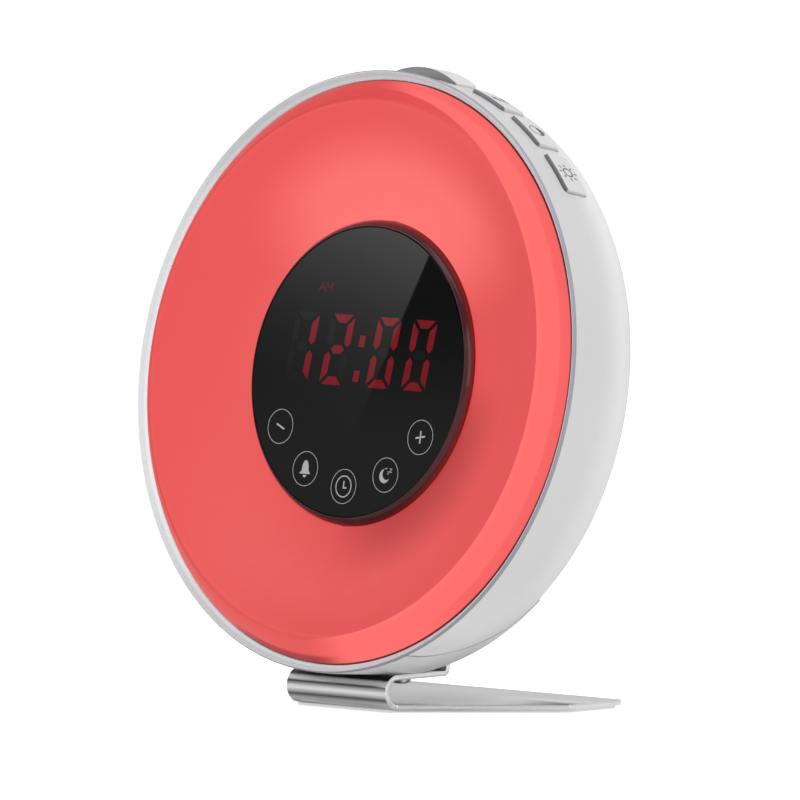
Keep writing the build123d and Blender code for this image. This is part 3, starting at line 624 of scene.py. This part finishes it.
def make_finishes():
    return {
        "shell": shell_finish(),
        "ring": ring_finish(),
        "ring_side": ring_side_finish(),
        "keys": key_finish(),
        "glass": window_finish(),
        "diffuser": lit_diffuser_finish(),
        "bezel": smoky_bezel_finish(),
        "lit": printed_finish("lit_bars", (118, 18, 26), lit=True),
        "dim": printed_finish("dim_mark", (84, 16, 24), lit=True),
        "unlit": printed_finish("unlit_bars", (22, 22, 23)),
        "icons": printed_finish("printed_icons", (174, 176, 178)),
        "steel": sheet_finish(),
        "screws": screw_finish(),
        "lamp": lamp_finish(),
        "key_marks": plain_finish("key_marks", (96, 96, 100), 0.5),
        # the pad's glow is painted light on a part that is no lamp
        "pad": plain_finish("pale_pad", grey(240), 0.7, grain=1400, height=0.02, glow=0.15),
        "black": plain_finish("black_moulding", (28, 28, 30), 0.45),
        "board": plain_finish("circuit_board", (24, 84, 52), 0.45),
        "white": plain_finish("white_moulding", grey(226), 0.5),
        "brass": plain_finish("electrode_film", (150, 120, 70), 0.35, 0.6),
        "magnet": plain_finish("magnet_grey", (120, 120, 122), 0.4, 0.8),
        "foam": plain_finish("black_foam", grey(24), 0.9, grain=700, height=0.08),
        "cone": plain_finish("cone_paper", (46, 46, 48), 0.8, grain=600, height=0.05),
        "ribbon": plain_finish("ribbon_film", (214, 214, 205), 0.4),
    }


# ------------------------------------------------------------------ front of the disc
def make_ring(finishes):
    bore = SPIGOT_RADIUS - SPIGOT_WALL
    outline = [
        (RING_RADIUS, -RING_SIDE),
        (RING_RADIUS, -RING_EDGE),
        (RING_RADIUS - RING_EDGE, 0),
        (RING_INNER, -RING_DROP),
        (RING_INNER, SEAT),
        (bore, SEAT),
        (bore, SPIGOT_END),
        (SPIGOT_RADIUS, SPIGOT_END),
        (SPIGOT_RADIUS, -RING_SIDE - (BODY_RADIUS - SPIGOT_RADIUS) * RING_FALL),
        (BODY_RADIUS, -RING_SIDE),
    ]
    ring = turned(
        "front_ring",
        soften(outline, 0.18, 2),
        [finishes["ring"], finishes["ring_side"]],
        pick=lambda r, n: 1 if r > RING_RADIUS - 0.75 * RING_EDGE else 0,
    )
    settle(ring, "clock", "ring_silver", "trim_ring")


def make_diffuser(finishes):
    wall = DIFFUSER_WALL
    crest, rim = (CREST_RADIUS, CREST_HEIGHT), (RIM_RADIUS, -RING_DROP - 0.2)
    dish_slope, bow, crest_round = radians(1), 0.45, 1.1
    slope = bowed_line(rim, crest, bow, 16)
    dish = arc_points((HUB_RADIUS, -HUB_DEPTH), crest, dish_slope, 48)[::-1]
    inner_crest = (CREST_RADIUS - 0.35, CREST_HEIGHT - 1.3 * wall)
    inner_dish = arc_points((HUB_RADIUS + wall, -HUB_DEPTH - wall), inner_crest, dish_slope, 24)
    outline = (
        [(RIM_RADIUS, SEAT)]
        + joined_runs(slope, dish, crest_round)
        + [(HUB_RADIUS, HUB_END), (HUB_RADIUS + wall, HUB_END)]
        + inner_dish
        + [(RIM_RADIUS - RIM_WALL, rim[1] - 0.4), (RIM_RADIUS - RIM_WALL, SEAT)]
    )
    cap = turned("lit_cap", outline, [finishes["diffuser"]], sharp=50)
    # its red light isn't thrown on the silver ring
    cap.visible_diffuse = False
    settle(cap, "clock", "diffuser_red", "light_diffuser")


def make_display(finishes):
    bezel_outline = [
        (GLASS_RADIUS + 0.2, GLASS_BACK),
        (GLASS_RADIUS + 0.2, GLASS_FRONT),
        (GLASS_RADIUS + 0.45, GLASS_FRONT),
        (GLASS_RADIUS + 1.2, GLASS_FRONT - 0.75),
        (BEZEL_RADIUS - 0.25, BEZEL_SHOULDER + 0.5),
        (BEZEL_RADIUS, BEZEL_SHOULDER - 0.5),
        (BEZEL_RADIUS, FLANGE_FRONT),
        (FLANGE_RADIUS, FLANGE_FRONT),
        (FLANGE_RADIUS, FLANGE_BACK),
        (BEZEL_BORE, FLANGE_BACK),
        (BEZEL_BORE, GLASS_BACK),
    ]
    bezel = turned("smoky_ring", soften(bezel_outline, 0.3), [finishes["bezel"]], sharp=60)
    settle(bezel, "clock", "bezel_smoke", "display_bezel")
    edge = 0.25
    glass_outline = [
        (0.0, GLASS_FRONT),
        (GLASS_RADIUS - edge, GLASS_FRONT),
        (GLASS_RADIUS, GLASS_FRONT - edge),
        (GLASS_RADIUS, GLASS_BACK),
        (0.0, GLASS_BACK),
    ]
    glass = turned("black_window", glass_outline, [finishes["glass"]], sharp=40)
    settle(glass, "clock", "glass_black", "display_glass")


# ------------------------------------------------------------------ digits
DIGIT_X, DIGIT_Y = (-23.0, -9.0, 9.3, 23.3), 5.8
DIGIT_WIDTH, DIGIT_HEIGHT, BAR, BAR_GAP = 9.2, 20.0, 2.4, 0.8
DOT_WIDTH, DOT_HEIGHT, DOTS = 2.2, 3.2, ((0.3, 8.6), (-0.4, -1.3))
SLANT = tan(radians(6))
SEGMENTS = {"1": "bc", "2": "abged", "0": "abcdef"}
PRINT = 0.03  # thickness of what is printed on the window


def flipped(loop, x=1, y=1):
    return [(x * px, y * py) for px, py in loop]


def digit_segments():
    """The seven bars of a digit, centred on the origin."""
    w, h, t, g = DIGIT_WIDTH / 2, DIGIT_HEIGHT / 2, BAR, BAR_GAP
    top = [(-w + g, h), (w - g, h), (w - t - g, h - t), (-w + t + g, h - t)]
    middle = [
        (-w + t / 2 + g, 0),
        (-w + t + g, t / 2),
        (w - t - g, t / 2),
        (w - t / 2 - g, 0),
        (w - t - g, -t / 2),
        (-w + t + g, -t / 2),
    ]
    upper = [(w, h - g), (w - t, h - t - g), (w - t, t / 2 + g), (w - t / 2, g), (w, g + t / 2)]
    return {
        "a": top,
        "b": upper,
        "c": flipped(upper, y=-1),
        "d": flipped(top, y=-1),
        "e": flipped(upper, x=-1, y=-1),
        "f": flipped(upper, x=-1),
        "g": middle,
    }


def leaned(loop, x, y):
    return [(x + px + py * SLANT, y + py) for px, py in loop]


def letters_am():
    """Strokes of the AM mark."""
    left, base, height, line = -18.9, 21.7, 2.8, 0.33
    top, start = base + height, left + 2.8
    corners = (
        (left, base, left + 1.1, top),
        (left + 2.2, base, left + 1.1, top),
        (left + 0.5, base + 1.1, left + 1.7, base + 1.1),
        (start, base, start, top),
        (start, top, start + 1.15, base + 0.9),
        (start + 1.15, base + 0.9, start + 2.3, top),
        (start + 2.3, base, start + 2.3, top),
    )
    return [stroke(*ends, line) for ends in corners]


def make_digits(finishes):
    bars = digit_segments()
    lit, unlit = [], []
    for x, digit in zip(DIGIT_X, "1200"):
        for letter, loop in bars.items():
            target = lit if letter in SEGMENTS[digit] else unlit
            target.append(leaned(loop, x, DIGIT_Y))
    w, h = DOT_WIDTH / 2, DOT_HEIGHT / 2
    lit += [leaned([(-w, -h), (w, -h), (w, h), (-w, h)], x, y) for x, y in DOTS]
    for name, loops, finish, slot in (
        ("lit_bars", lit, "lit", "segment_red"),
        ("unlit_bars", unlit, "unlit", "digit_black"),
        ("am_mark", letters_am(), "dim", "segment_red"),
    ):
        join_prints(name, [[loop] for loop in loops], finishes[finish], PRINT, slot)


# ------------------------------------------------------------------ touch icons
ICON_CIRCLE, ICON_PITCH, ICON_RADIUS, ICON_LINE = 32.4, 29.2, 4.85, 0.17


def minus_icon(x, y):
    return [[stroke(x - 1.6, y + 0.7, x + 1.6, y - 0.7, 0.5)]]


def plus_icon(x, y):
    return [[stroke(x - 1.8, y - 0.3, x + 1.8, y + 0.3, 0.5)], [stroke(x, y - 1.8, x, y + 1.8, 0.5)]]


def bell_icon(x, y):
    half = []
    for k in range(13):
        t = k / 12
        half.append((0.25 + 1.05 * sin(t * pi / 2), 2.35 - 2.6 * t**1.6))
    half += [(1.4, -0.6), (2.0, -1.15), (2.0, -1.45)]
    outline = [(x + a, y + b) for a, b in half] + [(x - a, y + b) for a, b in half[::-1]]
    clapper = circle(x, y - 1.75, 0.7, 16, pi, pi)
    return [[outline], [clapper]]


def clock_icon(x, y):
    hands = [(-0.25, 1.6), (-0.25, -0.6), (1.2, -0.6), (1.2, -0.15), (0.2, -0.15), (0.2, 1.6)]
    return [ring_loops(x, y, 2.95, 0.34), [[(x + a, y + b) for a, b in hands]]]


def moon_icon(x, y):
    """A crescent with two small letters Z."""
    outer = circle(x - 0.3, y - 0.3, 2.0, 40, radians(75), radians(262))
    inner = circle(x + 0.54, y + 0.35, 1.7, 40, radians(88), radians(236))
    loops = [[outer + inner[::-1]]]
    for left, base, size in ((x + 0.65, y + 0.3, 0.7), (x + 1.4, y + 0.9, 0.95)):
        line, right, top = 0.2 * size, left + size, base + size
        loops += [
            [stroke(left, top, right, top, line)],
            [stroke(right, top, left, base, line)],
            [stroke(left, base, right, base, line)],
        ]
    return loops


def make_icons(finishes):
    groups = []
    for place, icon in enumerate((minus_icon, bell_icon, clock_icon, moon_icon, plus_icon)):
        angle = radians(-90 + (place - 2) * ICON_PITCH)
        x, y = ICON_CIRCLE * cos(angle), ICON_CIRCLE * sin(angle)
        groups.append(ring_loops(x, y, ICON_RADIUS, ICON_LINE))
        groups += icon(x, y)
    join_prints("touch_icons", groups, finishes["icons"], PRINT, "key_white")


# ------------------------------------------------------------------ marks on the keys
MARK_STRETCH, MARK_THICKNESS, MARK_LIFT = 1.2, 0.04, 0.03


def key_bend(angle):
    """Lays a print, with x round the wall and y forward, on the sloping top of a key."""
    out = RIGHT * cos(radians(angle)) + UP * sin(radians(angle))
    across = -RIGHT * sin(radians(angle)) + UP * cos(radians(angle))
    middle = KEY_FRONT + KEY_LENGTH / 2
    front_radius = WALL_RADIUS + KEY_PROUD
    rear_radius = shell_radius(KEY_FRONT + KEY_LENGTH) + KEY_REAR_PROUD

    def bend(point):
        depth = middle - point.y
        share = (depth - KEY_FRONT) / KEY_LENGTH
        radius = front_radius + (rear_radius - front_radius) * share + point.z + MARK_LIFT
        return (
            CENTRE + out * sqrt(radius**2 - point.x**2) + across * point.x - FORWARD * depth
        ) * MM

    return bend


def sun_mark():
    line, start, end = 0.42, 2.2, 3.1
    groups = [ring_loops(0, 0, 1.45, line)]
    for k in range(8):
        c, s = cos(pi / 4 * k), sin(pi / 4 * k)
        groups.append([stroke(start * c, start * s, end * c, end * s, line)])
    return groups


def contrast_mark():
    """A circle with its right half filled."""
    half = circle(0, 0, 2.1, 24, -0.42 * pi, 0.84 * pi)
    return [ring_loops(0, 0, 2.2, 0.3), [half]]


def sound_mark():
    """A loudspeaker with two waves."""
    groups = [[[(-2.4, -0.7), (-1.4, -0.7), (-0.2, -1.8), (-0.2, 1.8), (-1.4, 0.7), (-2.4, 0.7)]]]
    for radius in (1.3, 2.3):
        groups.append([arc_stroke(0.1, 0, radius, 0.4, radians(-50), radians(100))])
    return groups


def make_key_marks(finishes):
    marks = {"light": sun_mark, "contrast": contrast_mark, "sound": sound_mark}
    for node, angle in KEY_ANGLES.items():
        body = node.removeprefix("key_")
        groups = [
            [[(y, -MARK_STRETCH * x) for x, y in loop] for loop in group] for group in marks[body]()
        ]
        join_prints(
            node + "_mark", groups, finishes["key_marks"], MARK_THICKNESS, "key_white",
            body=body, bend=key_bend(angle),
        )


# ------------------------------------------------------------------ stand
def make_stand(finishes):
    sheet = dressed("stand_bracket", "bent_sheet", finishes["steel"], edge=0.25)
    settle(sheet, "clock", "stand_steel", "stand_bracket")
    pad = dressed("stand_pad", "grip_pad", finishes["pad"], edge=0.15)
    settle(pad, "clock", "pad_grey", "stand_pad")


# ------------------------------------------------------------------ what repeats
SMALL_SHARP = 35  # edges of small pieces that are sharper than this stay sharp, in degrees
SQUARE = ((-1, -1), (1, -1), (1, 1), (-1, 1))


def new_tree(name, sizes):
    """A geometry tree that takes a piece, named sizes and a finish; given with its inputs."""
    tree = bpy.data.node_groups.new(name, "GeometryNodeTree")
    tree.interface.new_socket("Piece", in_out="INPUT", socket_type="NodeSocketGeometry")
    for label, value in sizes.items():
        kind = "NodeSocketInt" if isinstance(value, int) else "NodeSocketFloat"
        tree.interface.new_socket(label, in_out="INPUT", socket_type=kind).default_value = value
    tree.interface.new_socket("Finish", in_out="INPUT", socket_type="NodeSocketMaterial")
    tree.interface.new_socket("Geometry", in_out="OUTPUT", socket_type="NodeSocketGeometry")
    made = Nodes(tree)
    return made, made.node("NodeGroupInput").outputs


def set_out(made, given, points, rotation=(0, 0, 0)):
    """Puts the given piece on each point, joins the copies and names their finish."""
    feeds = {"Points": points, "Instance": given["Piece"], "Rotation": rotation}
    copies = made.node("GeometryNodeInstanceOnPoints", feeds).outputs[0]
    real = made.node("GeometryNodeRealizeInstances", {0: copies}).outputs[0]
    feeds = {"Geometry": real, "Material": given["Finish"]}
    made.node("NodeGroupOutput", {0: made.node("GeometryNodeSetMaterial", feeds).outputs[0]})
    return made.tree


def joined(made, parts):
    join = made.node("GeometryNodeJoinGeometry")
    for part in parts:
        made.feed(join.inputs[0], part)
    return join.outputs[0]


def pairs_tree(pairs):
    """Copies in mirrored pairs: each pair has a half width and a height."""
    sizes = {}
    for k in range(1, pairs + 1):
        sizes |= {f"Half Width {k}": 10.0, f"Height {k}": 0.0}
    made, given = new_tree(f"{pairs}_mirrored_pairs", sizes | {"Seed": 3})
    lines = []
    for k in range(1, pairs + 1):
        left, right = (
            made.point(made.math("MULTIPLY", given[f"Half Width {k}"], side), given[f"Height {k}"])
            for side in (-1, 1)
        )
        feeds = {"Count": 2, "Start Location": left, "Offset": right}
        lines.append(made.node("GeometryNodeMeshLine", feeds, mode="END_POINTS").outputs[0])
    feeds = {"Max": pi / 2, "Seed": given["Seed"]}
    turn = made.node("FunctionNodeRandomValue", feeds, data_type="FLOAT").outputs["Value"]
    return set_out(made, given, joined(made, lines), made.point(z=turn))


def ring_tree():
    """Copies evenly round a circle, each turned to face the middle."""
    made, given = new_tree("round_a_circle", {"Count": 16, "Circle Radius": 50.0})
    feeds = {"Vertices": given["Count"], "Radius": given["Circle Radius"]}
    points = made.node("GeometryNodeMeshCircle", feeds).outputs[0]
    index = made.node("GeometryNodeInputIndex").outputs[0]
    turn = made.math("MULTIPLY", index, made.math("DIVIDE", 2 * pi, given["Count"]))
    return set_out(made, given, points, made.point(z=turn))


def rings_tree(rings):
    """Copies at the middle and on rings of 6, 12, 18 ... round it."""
    made, given = new_tree("rings_round_a_middle", {"Pitch": 4.0})
    parts = [made.node("GeometryNodePoints").outputs[0]]
    for k in range(1, rings + 1):
        feeds = {"Vertices": 6 * k, "Radius": made.math("MULTIPLY", given["Pitch"], k)}
        parts.append(made.node("GeometryNodeMeshCircle", feeds).outputs[0])
    return set_out(made, given, joined(made, parts))


def grown(name, piece, tree, place, **values):
    """Runs a tree on a small piece and gives the finished plain mesh its place."""
    holder = add_object(name, piece)
    modifier = holder.modifiers.new("pattern", "NODES")
    modifier.node_group = tree
    for socket in tree.interface.items_tree:
        key = socket.name.replace(" ", "_").lower()
        if socket.in_out == "INPUT" and key in values:
            modifier[socket.identifier] = values[key]
    finished = finished_mesh(holder)
    holder.modifiers.clear()
    holder.data = finished
    finished.name = name
    finished.transform(place)
    tidy(finished, SMALL_SHARP)
    return holder


def small_turned(name, outline, steps=24):
    """A small turned piece on the local Z axis from an open or closed (radius, z) outline."""
    work = bmesh.new()
    turns = [2 * pi * k / steps for k in range(steps)]
    rows = []
    for radius, z in outline:
        if radius < 1e-6:
            rows.append([work.verts.new((0, 0, z))] * steps)
        else:
            rows.append([work.verts.new((radius * cos(a), radius * sin(a), z)) for a in turns])
    for low, high in zip(rows, rows[1:] + ([rows[0]] if outline[0][0] > 1e-6 else [])):
        for k in range(steps):
            corners = dict.fromkeys((low[k], low[(k + 1) % steps], high[(k + 1) % steps], high[k]))
            if len(corners) > 2:
                work.faces.new(list(corners))
    bmesh.ops.recalc_face_normals(work, faces=work.faces)
    return as_mesh(work, name)


def cross_cutter(name, reach, width, depth, top, single=False):
    """The form that a driver leaves in a head: a cross, or a single slot, with sloping walls."""
    box = ((0, 1, 2, 3), (7, 6, 5, 4), (0, 4, 5, 1), (1, 5, 6, 2), (2, 6, 7, 3), (3, 7, 4, 0))
    work = bmesh.new()
    for turn in (0,) if single else (0, pi / 2):
        corners = []
        for z, shrink in ((top - 0.2, 1.0), (top + depth, 0.72)):
            for x, y in SQUARE:
                point = Vector((x * reach * shrink, y * width / 2 * shrink, z))
                corners.append(work.verts.new(Matrix.Rotation(turn, 3, "Z") @ point))
        for face in box:
            work.faces.new([corners[k] for k in face])
    bmesh.ops.recalc_face_normals(work, faces=work.faces)
    return as_mesh(work, name)


def screw_piece(name, head, head_height, shank, length, single=False):
    """A pan-head screw: seat at z 0, head towards -Z, cross recess, thread on the shank."""
    thread, pitch = 0.82 * shank, 0.7
    outline = [
        (0, -head_height),
        (0.55 * head, -head_height),
        (0.85 * head, -0.86 * head_height),
        (0.97 * head, -0.55 * head_height),
        (head, -0.2 * head_height),
        (head, 0),
        (shank, 0),
    ]
    z = 0.8
    while z + pitch < length - 1.0:
        outline += [(thread, z), (shank, z + pitch / 2)]
        z += pitch
    outline += [(thread, z), (0.4 * shank, length - 0.3), (0, length)]
    body = add_object(name, small_turned(name, outline))
    recess = cross_cutter(
        name + "_cutter", 0.62 * head, 0.26 * head, 0.55 * head_height, -head_height, single
    )
    cutter = add_object(name + "_cutter", recess)
    carve = body.modifiers.new("recess", "BOOLEAN")
    carve.operation = "DIFFERENCE"
    carve.solver = "EXACT"
    carve.use_self = True
    carve.object = cutter
    finished = finished_mesh(body)
    bpy.data.objects.remove(body)
    bpy.data.objects.remove(cutter)
    return finished


def make_screws(finishes):
    """Case screws, stand screws and the screw of the cell door."""
    boss_circle, head_seat, upper, lower = 70.0, -20.0, radians(25), radians(35)
    large = {"head": 2.8, "head_height": 2.0, "shank": 1.5}
    case = grown(
        "case_screw_set", screw_piece("case_screw", **large, length=12.0), pairs_tree(2),
        disc_frame(head_seat), seed=4, finish=finishes["screws"],
        half_width_1=boss_circle * cos(upper), height_1=boss_circle * sin(upper),
        half_width_2=boss_circle * cos(lower), height_2=-boss_circle * sin(lower),
    )
    settle(case, "clock", "screw_steel", "case_screws")
    under_leaf = Matrix.Translation((0, 0, (LEAF_TOP - SHEET) * MM)) @ Matrix.Scale(MM, 4)
    stand = grown(
        "stand_screw_pair", screw_piece("stand_screw", **large, length=8.0), pairs_tree(1),
        under_leaf, seed=9, finish=finishes["screws"], half_width_1=11.0, height_1=10.0,
    )
    settle(stand, "clock", "screw_steel", "stand_screws")
    door_x, door_y, door_seat = -45.0, -14.5, -40.6
    small = {"head": 2.2, "head_height": 1.0, "shank": 1.0, "length": 6.0}
    door = add_object("door_screw", screw_piece("door_screw", **small, single=True))
    door.data.materials.append(finishes["screws"])
    door.data.transform(disc_frame(door_seat) @ Matrix.Translation((door_x, door_y, 0)))
    tidy(door.data, SMALL_SHARP)
    settle(door, "clock", "screw_steel", "battery_door_screw")


def make_lamps(finishes):
    """Lamp bodies round the display, each with a dished window."""
    half, top, window, rim, seat = 2.5, 0.9, 1.7, 0.25, -10.8
    work = bmesh.new()
    loops = []
    for size, z in ((half, 0.0), (half, top), (window + rim, top), (window, top - rim)):
        loops.append([work.verts.new((x * size, y * size, z)) for x, y in SQUARE])
    work.faces.new(loops[0][::-1])
    for low, high in zip(loops, loops[1:]):
        for k in range(4):
            work.faces.new((low[k], low[(k + 1) % 4], high[(k + 1) % 4], high[k]))
    work.faces.new(loops[-1])
    lamps = grown(
        "lamp_ring", as_mesh(work, "lamp"), ring_tree(), disc_frame(seat), count=16,
        circle_radius=57.0, finish=finishes["lamp"],
    )
    settle(lamps, "clock", "emitter", "led_emitters")


def make_grille(finishes):
    """A fine raised rim round each hole of the speaker grille."""
    rim = small_turned("grille_rim", [(1.12, 0.0), (1.2, -0.1), (1.42, -0.1), (1.6, 0.0)], 20)
    rims = grown(
        "grille_rims", rim, rings_tree(4), disc_frame(CASE_BACK), pitch=4.4, finish=finishes["shell"]
    )
    settle(rims, "clock", "housing_white")


def finish_kept_nodes(finishes):
    """Every solid that is shown as it is gets its own finish."""
    kept = {
        "shell": "rear_housing battery_door",
        "keys": "key_light key_contrast key_sound snooze_button",
        "black": "digit_display main_board_chips dc_jack speaker_frame tact_switches cell_holder",
        "lit": "segment_lenses",
        "brass": "touch_sheet",
        "board": "display_board led_board main_board",
        "white": "light_tray switch_bracket",
        "cone": "speaker_cone",
        "magnet": "speaker_magnet",
        "foam": "speaker_gasket",
        "screws": "coin_cell",
        "ribbon": "ribbon_cable",
    }
    for finish, nodes in kept.items():
        for node in nodes.split():
            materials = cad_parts[node].data.materials
            if not materials:
                materials.append(finishes[finish])
            for k in range(len(materials)):
                materials[k] = finishes[finish]


# ------------------------------------------------------------------ camera and studio
AZIMUTH, ELEVATION = radians(44.737), radians(4.507)
PIXELS_PER_MM, FRAME_PIXELS = 3.569, 800
ORIGIN_PIXEL = (348.19, 708.31)  # where the origin of the frame is seen
LENS, SENSOR = 1200.0, 36.0
VIEW_DISTANCE = LENS / SENSOR * FRAME_PIXELS / PIXELS_PER_MM


def camera_axes():
    right = Vector((cos(AZIMUTH), sin(AZIMUTH), 0))
    look = Vector((-sin(AZIMUTH) * cos(ELEVATION), cos(AZIMUTH) * cos(ELEVATION), -sin(ELEVATION)))
    return right, right.cross(look), look


def placed(place, *axes):
    """Matrix at a place in millimetres with three axes of its own."""
    return Matrix.Translation(place * MM) @ Matrix(axes).transposed().to_4x4()


def make_camera():
    right, up, look = camera_axes()
    aim = right * (FRAME_PIXELS / 2 - ORIGIN_PIXEL[0]) / PIXELS_PER_MM
    aim += up * (ORIGIN_PIXEL[1] - FRAME_PIXELS / 2) / PIXELS_PER_MM
    data = bpy.data.cameras.new("camera")
    data.lens, data.sensor_width = LENS, SENSOR
    data.clip_start, data.clip_end = 1.0, 50
    camera = add_object("camera", data)
    camera.matrix_world = placed(aim - look * VIEW_DISTANCE, right, up, -look)
    bpy.context.scene.camera = camera


def area_lamp(name, size, power):
    data = bpy.data.lights.new(name, "AREA")
    data.shape = "RECTANGLE"
    data.size, data.size_y = size
    data.energy = power
    return add_object(name, data)


def mirrored(direction):
    """A direction as the window mirrors it."""
    return direction - 2 * direction.dot(FORWARD) * FORWARD


def make_gloss_panel():
    """A small softbox that the window mirrors; it lights nothing else."""
    right, up, look = (mirrored(axis) for axis in camera_axes())
    distance, length, width, overhang, power = 350.0, 100.0, 110.0, 18.0, 8.0
    # right edge of the reflection, from the middle of the window as the camera sees it
    edge_low, edge_top = Vector((2.35, -7.17)), Vector((20.06, 34.4))
    along = (edge_top - edge_low).normalized()
    left = Vector((-along.y, along.x))
    middle = edge_low + along * (length / 2 - overhang) + left * width / 2
    grow = 1 + distance / VIEW_DISTANCE
    window = CENTRE + FORWARD * GLASS_FRONT
    spot = window + look * distance + (right * middle.x + up * middle.y) * grow
    rise = right * along.x + up * along.y
    size = width * grow * MM, length * grow * MM
    lamp = area_lamp("gloss_panel", size, power * pi * size[0] * size[1])
    lamp.matrix_world = placed(spot, rise.cross(look), rise, look)
    lamp.visible_diffuse = False
    fade_from_below(lamp.data, 0.7)


def fade_from_below(data, share):
    """Makes a lamp grow from dark at its lower edge to full at a share of its length."""
    data.use_nodes = True
    made = Nodes(data.node_tree)
    place = made.node("ShaderNodeNewGeometry").outputs["Parametric"]
    fade = made.math("POWER", made.spread(made.part(place, "Y"), 0, 1, 0, share), 2.0)
    made.feed(made.tree.nodes["Emission"].inputs["Strength"], fade)


def make_world():
    """White for the camera; what is mirrored is a pale room with a bright strip and a dark ceiling."""
    world = bpy.data.worlds.new("studio")
    bpy.context.scene.world = world
    world.use_nodes = True
    made = Nodes(world.node_tree)
    background = made.tree.nodes["Background"].inputs
    made.feed(background["Color"], (1, 1, 1, 1))
    path = made.node("ShaderNodeLightPath").outputs
    seen = made.math("MAXIMUM", path["Is Camera Ray"], path["Is Transmission Ray"])
    direction = made.node("ShaderNodeTexCoord").outputs["Generated"]
    stops = ((0.0, 0.6), (0.40, 0.6), (0.47, 0.95), (0.53, 0.95), (0.60, 0.1), (0.78, 0.14), (1.0, 0.4))
    room = made.ramp(made.part(direction, "Z"), stops)
    feeds = {"Factor": path["Is Glossy Ray"], "A": 0.55, "B": room}
    mirrored_room = made.node("ShaderNodeMix", feeds).outputs["Result"]
    feeds = {"Factor": seen, "A": mirrored_room, "B": 1.0}
    made.feed(background["Strength"], made.node("ShaderNodeMix", feeds).outputs["Result"])


def make_floor():
    reach, gap, seen_glow = 6.0, 0.0003, 0.62
    mesh = bpy.data.meshes.new("floor")
    mesh.from_pydata([(x * reach, y * reach, 0) for x, y in SQUARE], [], [(0, 1, 2, 3)])
    floor = add_object("floor", mesh)
    floor.location.z = -gap
    made = Finish("floor_white", grey(226), 0.6)
    made.give("Specular IOR Level", 0.0)
    seen = made.node("ShaderNodeLightPath").outputs["Is Camera Ray"]
    made.glow(grey(255), made.math("MULTIPLY", seen, seen_glow))
    mesh.materials.append(made.material)


def make_lights():
    """Three softboxes; places, targets and sizes are in metres."""
    for name, place, target, size, power in (
        ("front_light", (-0.9, -1.5, 1.5), (0, 0, 0.09), (1.2, 1.2), 16),
        ("top_light", (0.3, 0.2, 1.6), (0, 0, 0.1), (1.4, 1.4), 12),
        ("side_light", (1.6, -0.2, 0.7), (0.05, 0, 0.1), (1.0, 1.2), 8),
    ):
        lamp = area_lamp(name, size, power)
        lamp.location = place
        lamp.rotation_euler = (Vector(target) - Vector(place)).to_track_quat("-Z", "Y").to_euler()


def main():
    finishes = make_finishes()
    make_camera()
    make_ring(finishes)
    make_diffuser(finishes)
    make_display(finishes)
    make_digits(finishes)
    make_icons(finishes)
    make_key_marks(finishes)
    make_stand(finishes)
    make_screws(finishes)
    make_lamps(finishes)
    make_grille(finishes)
    finish_kept_nodes(finishes)
    make_gloss_panel()
    make_world()
    make_floor()
    make_lights()
    bpy.context.scene.view_settings.view_transform = "Standard"


main()
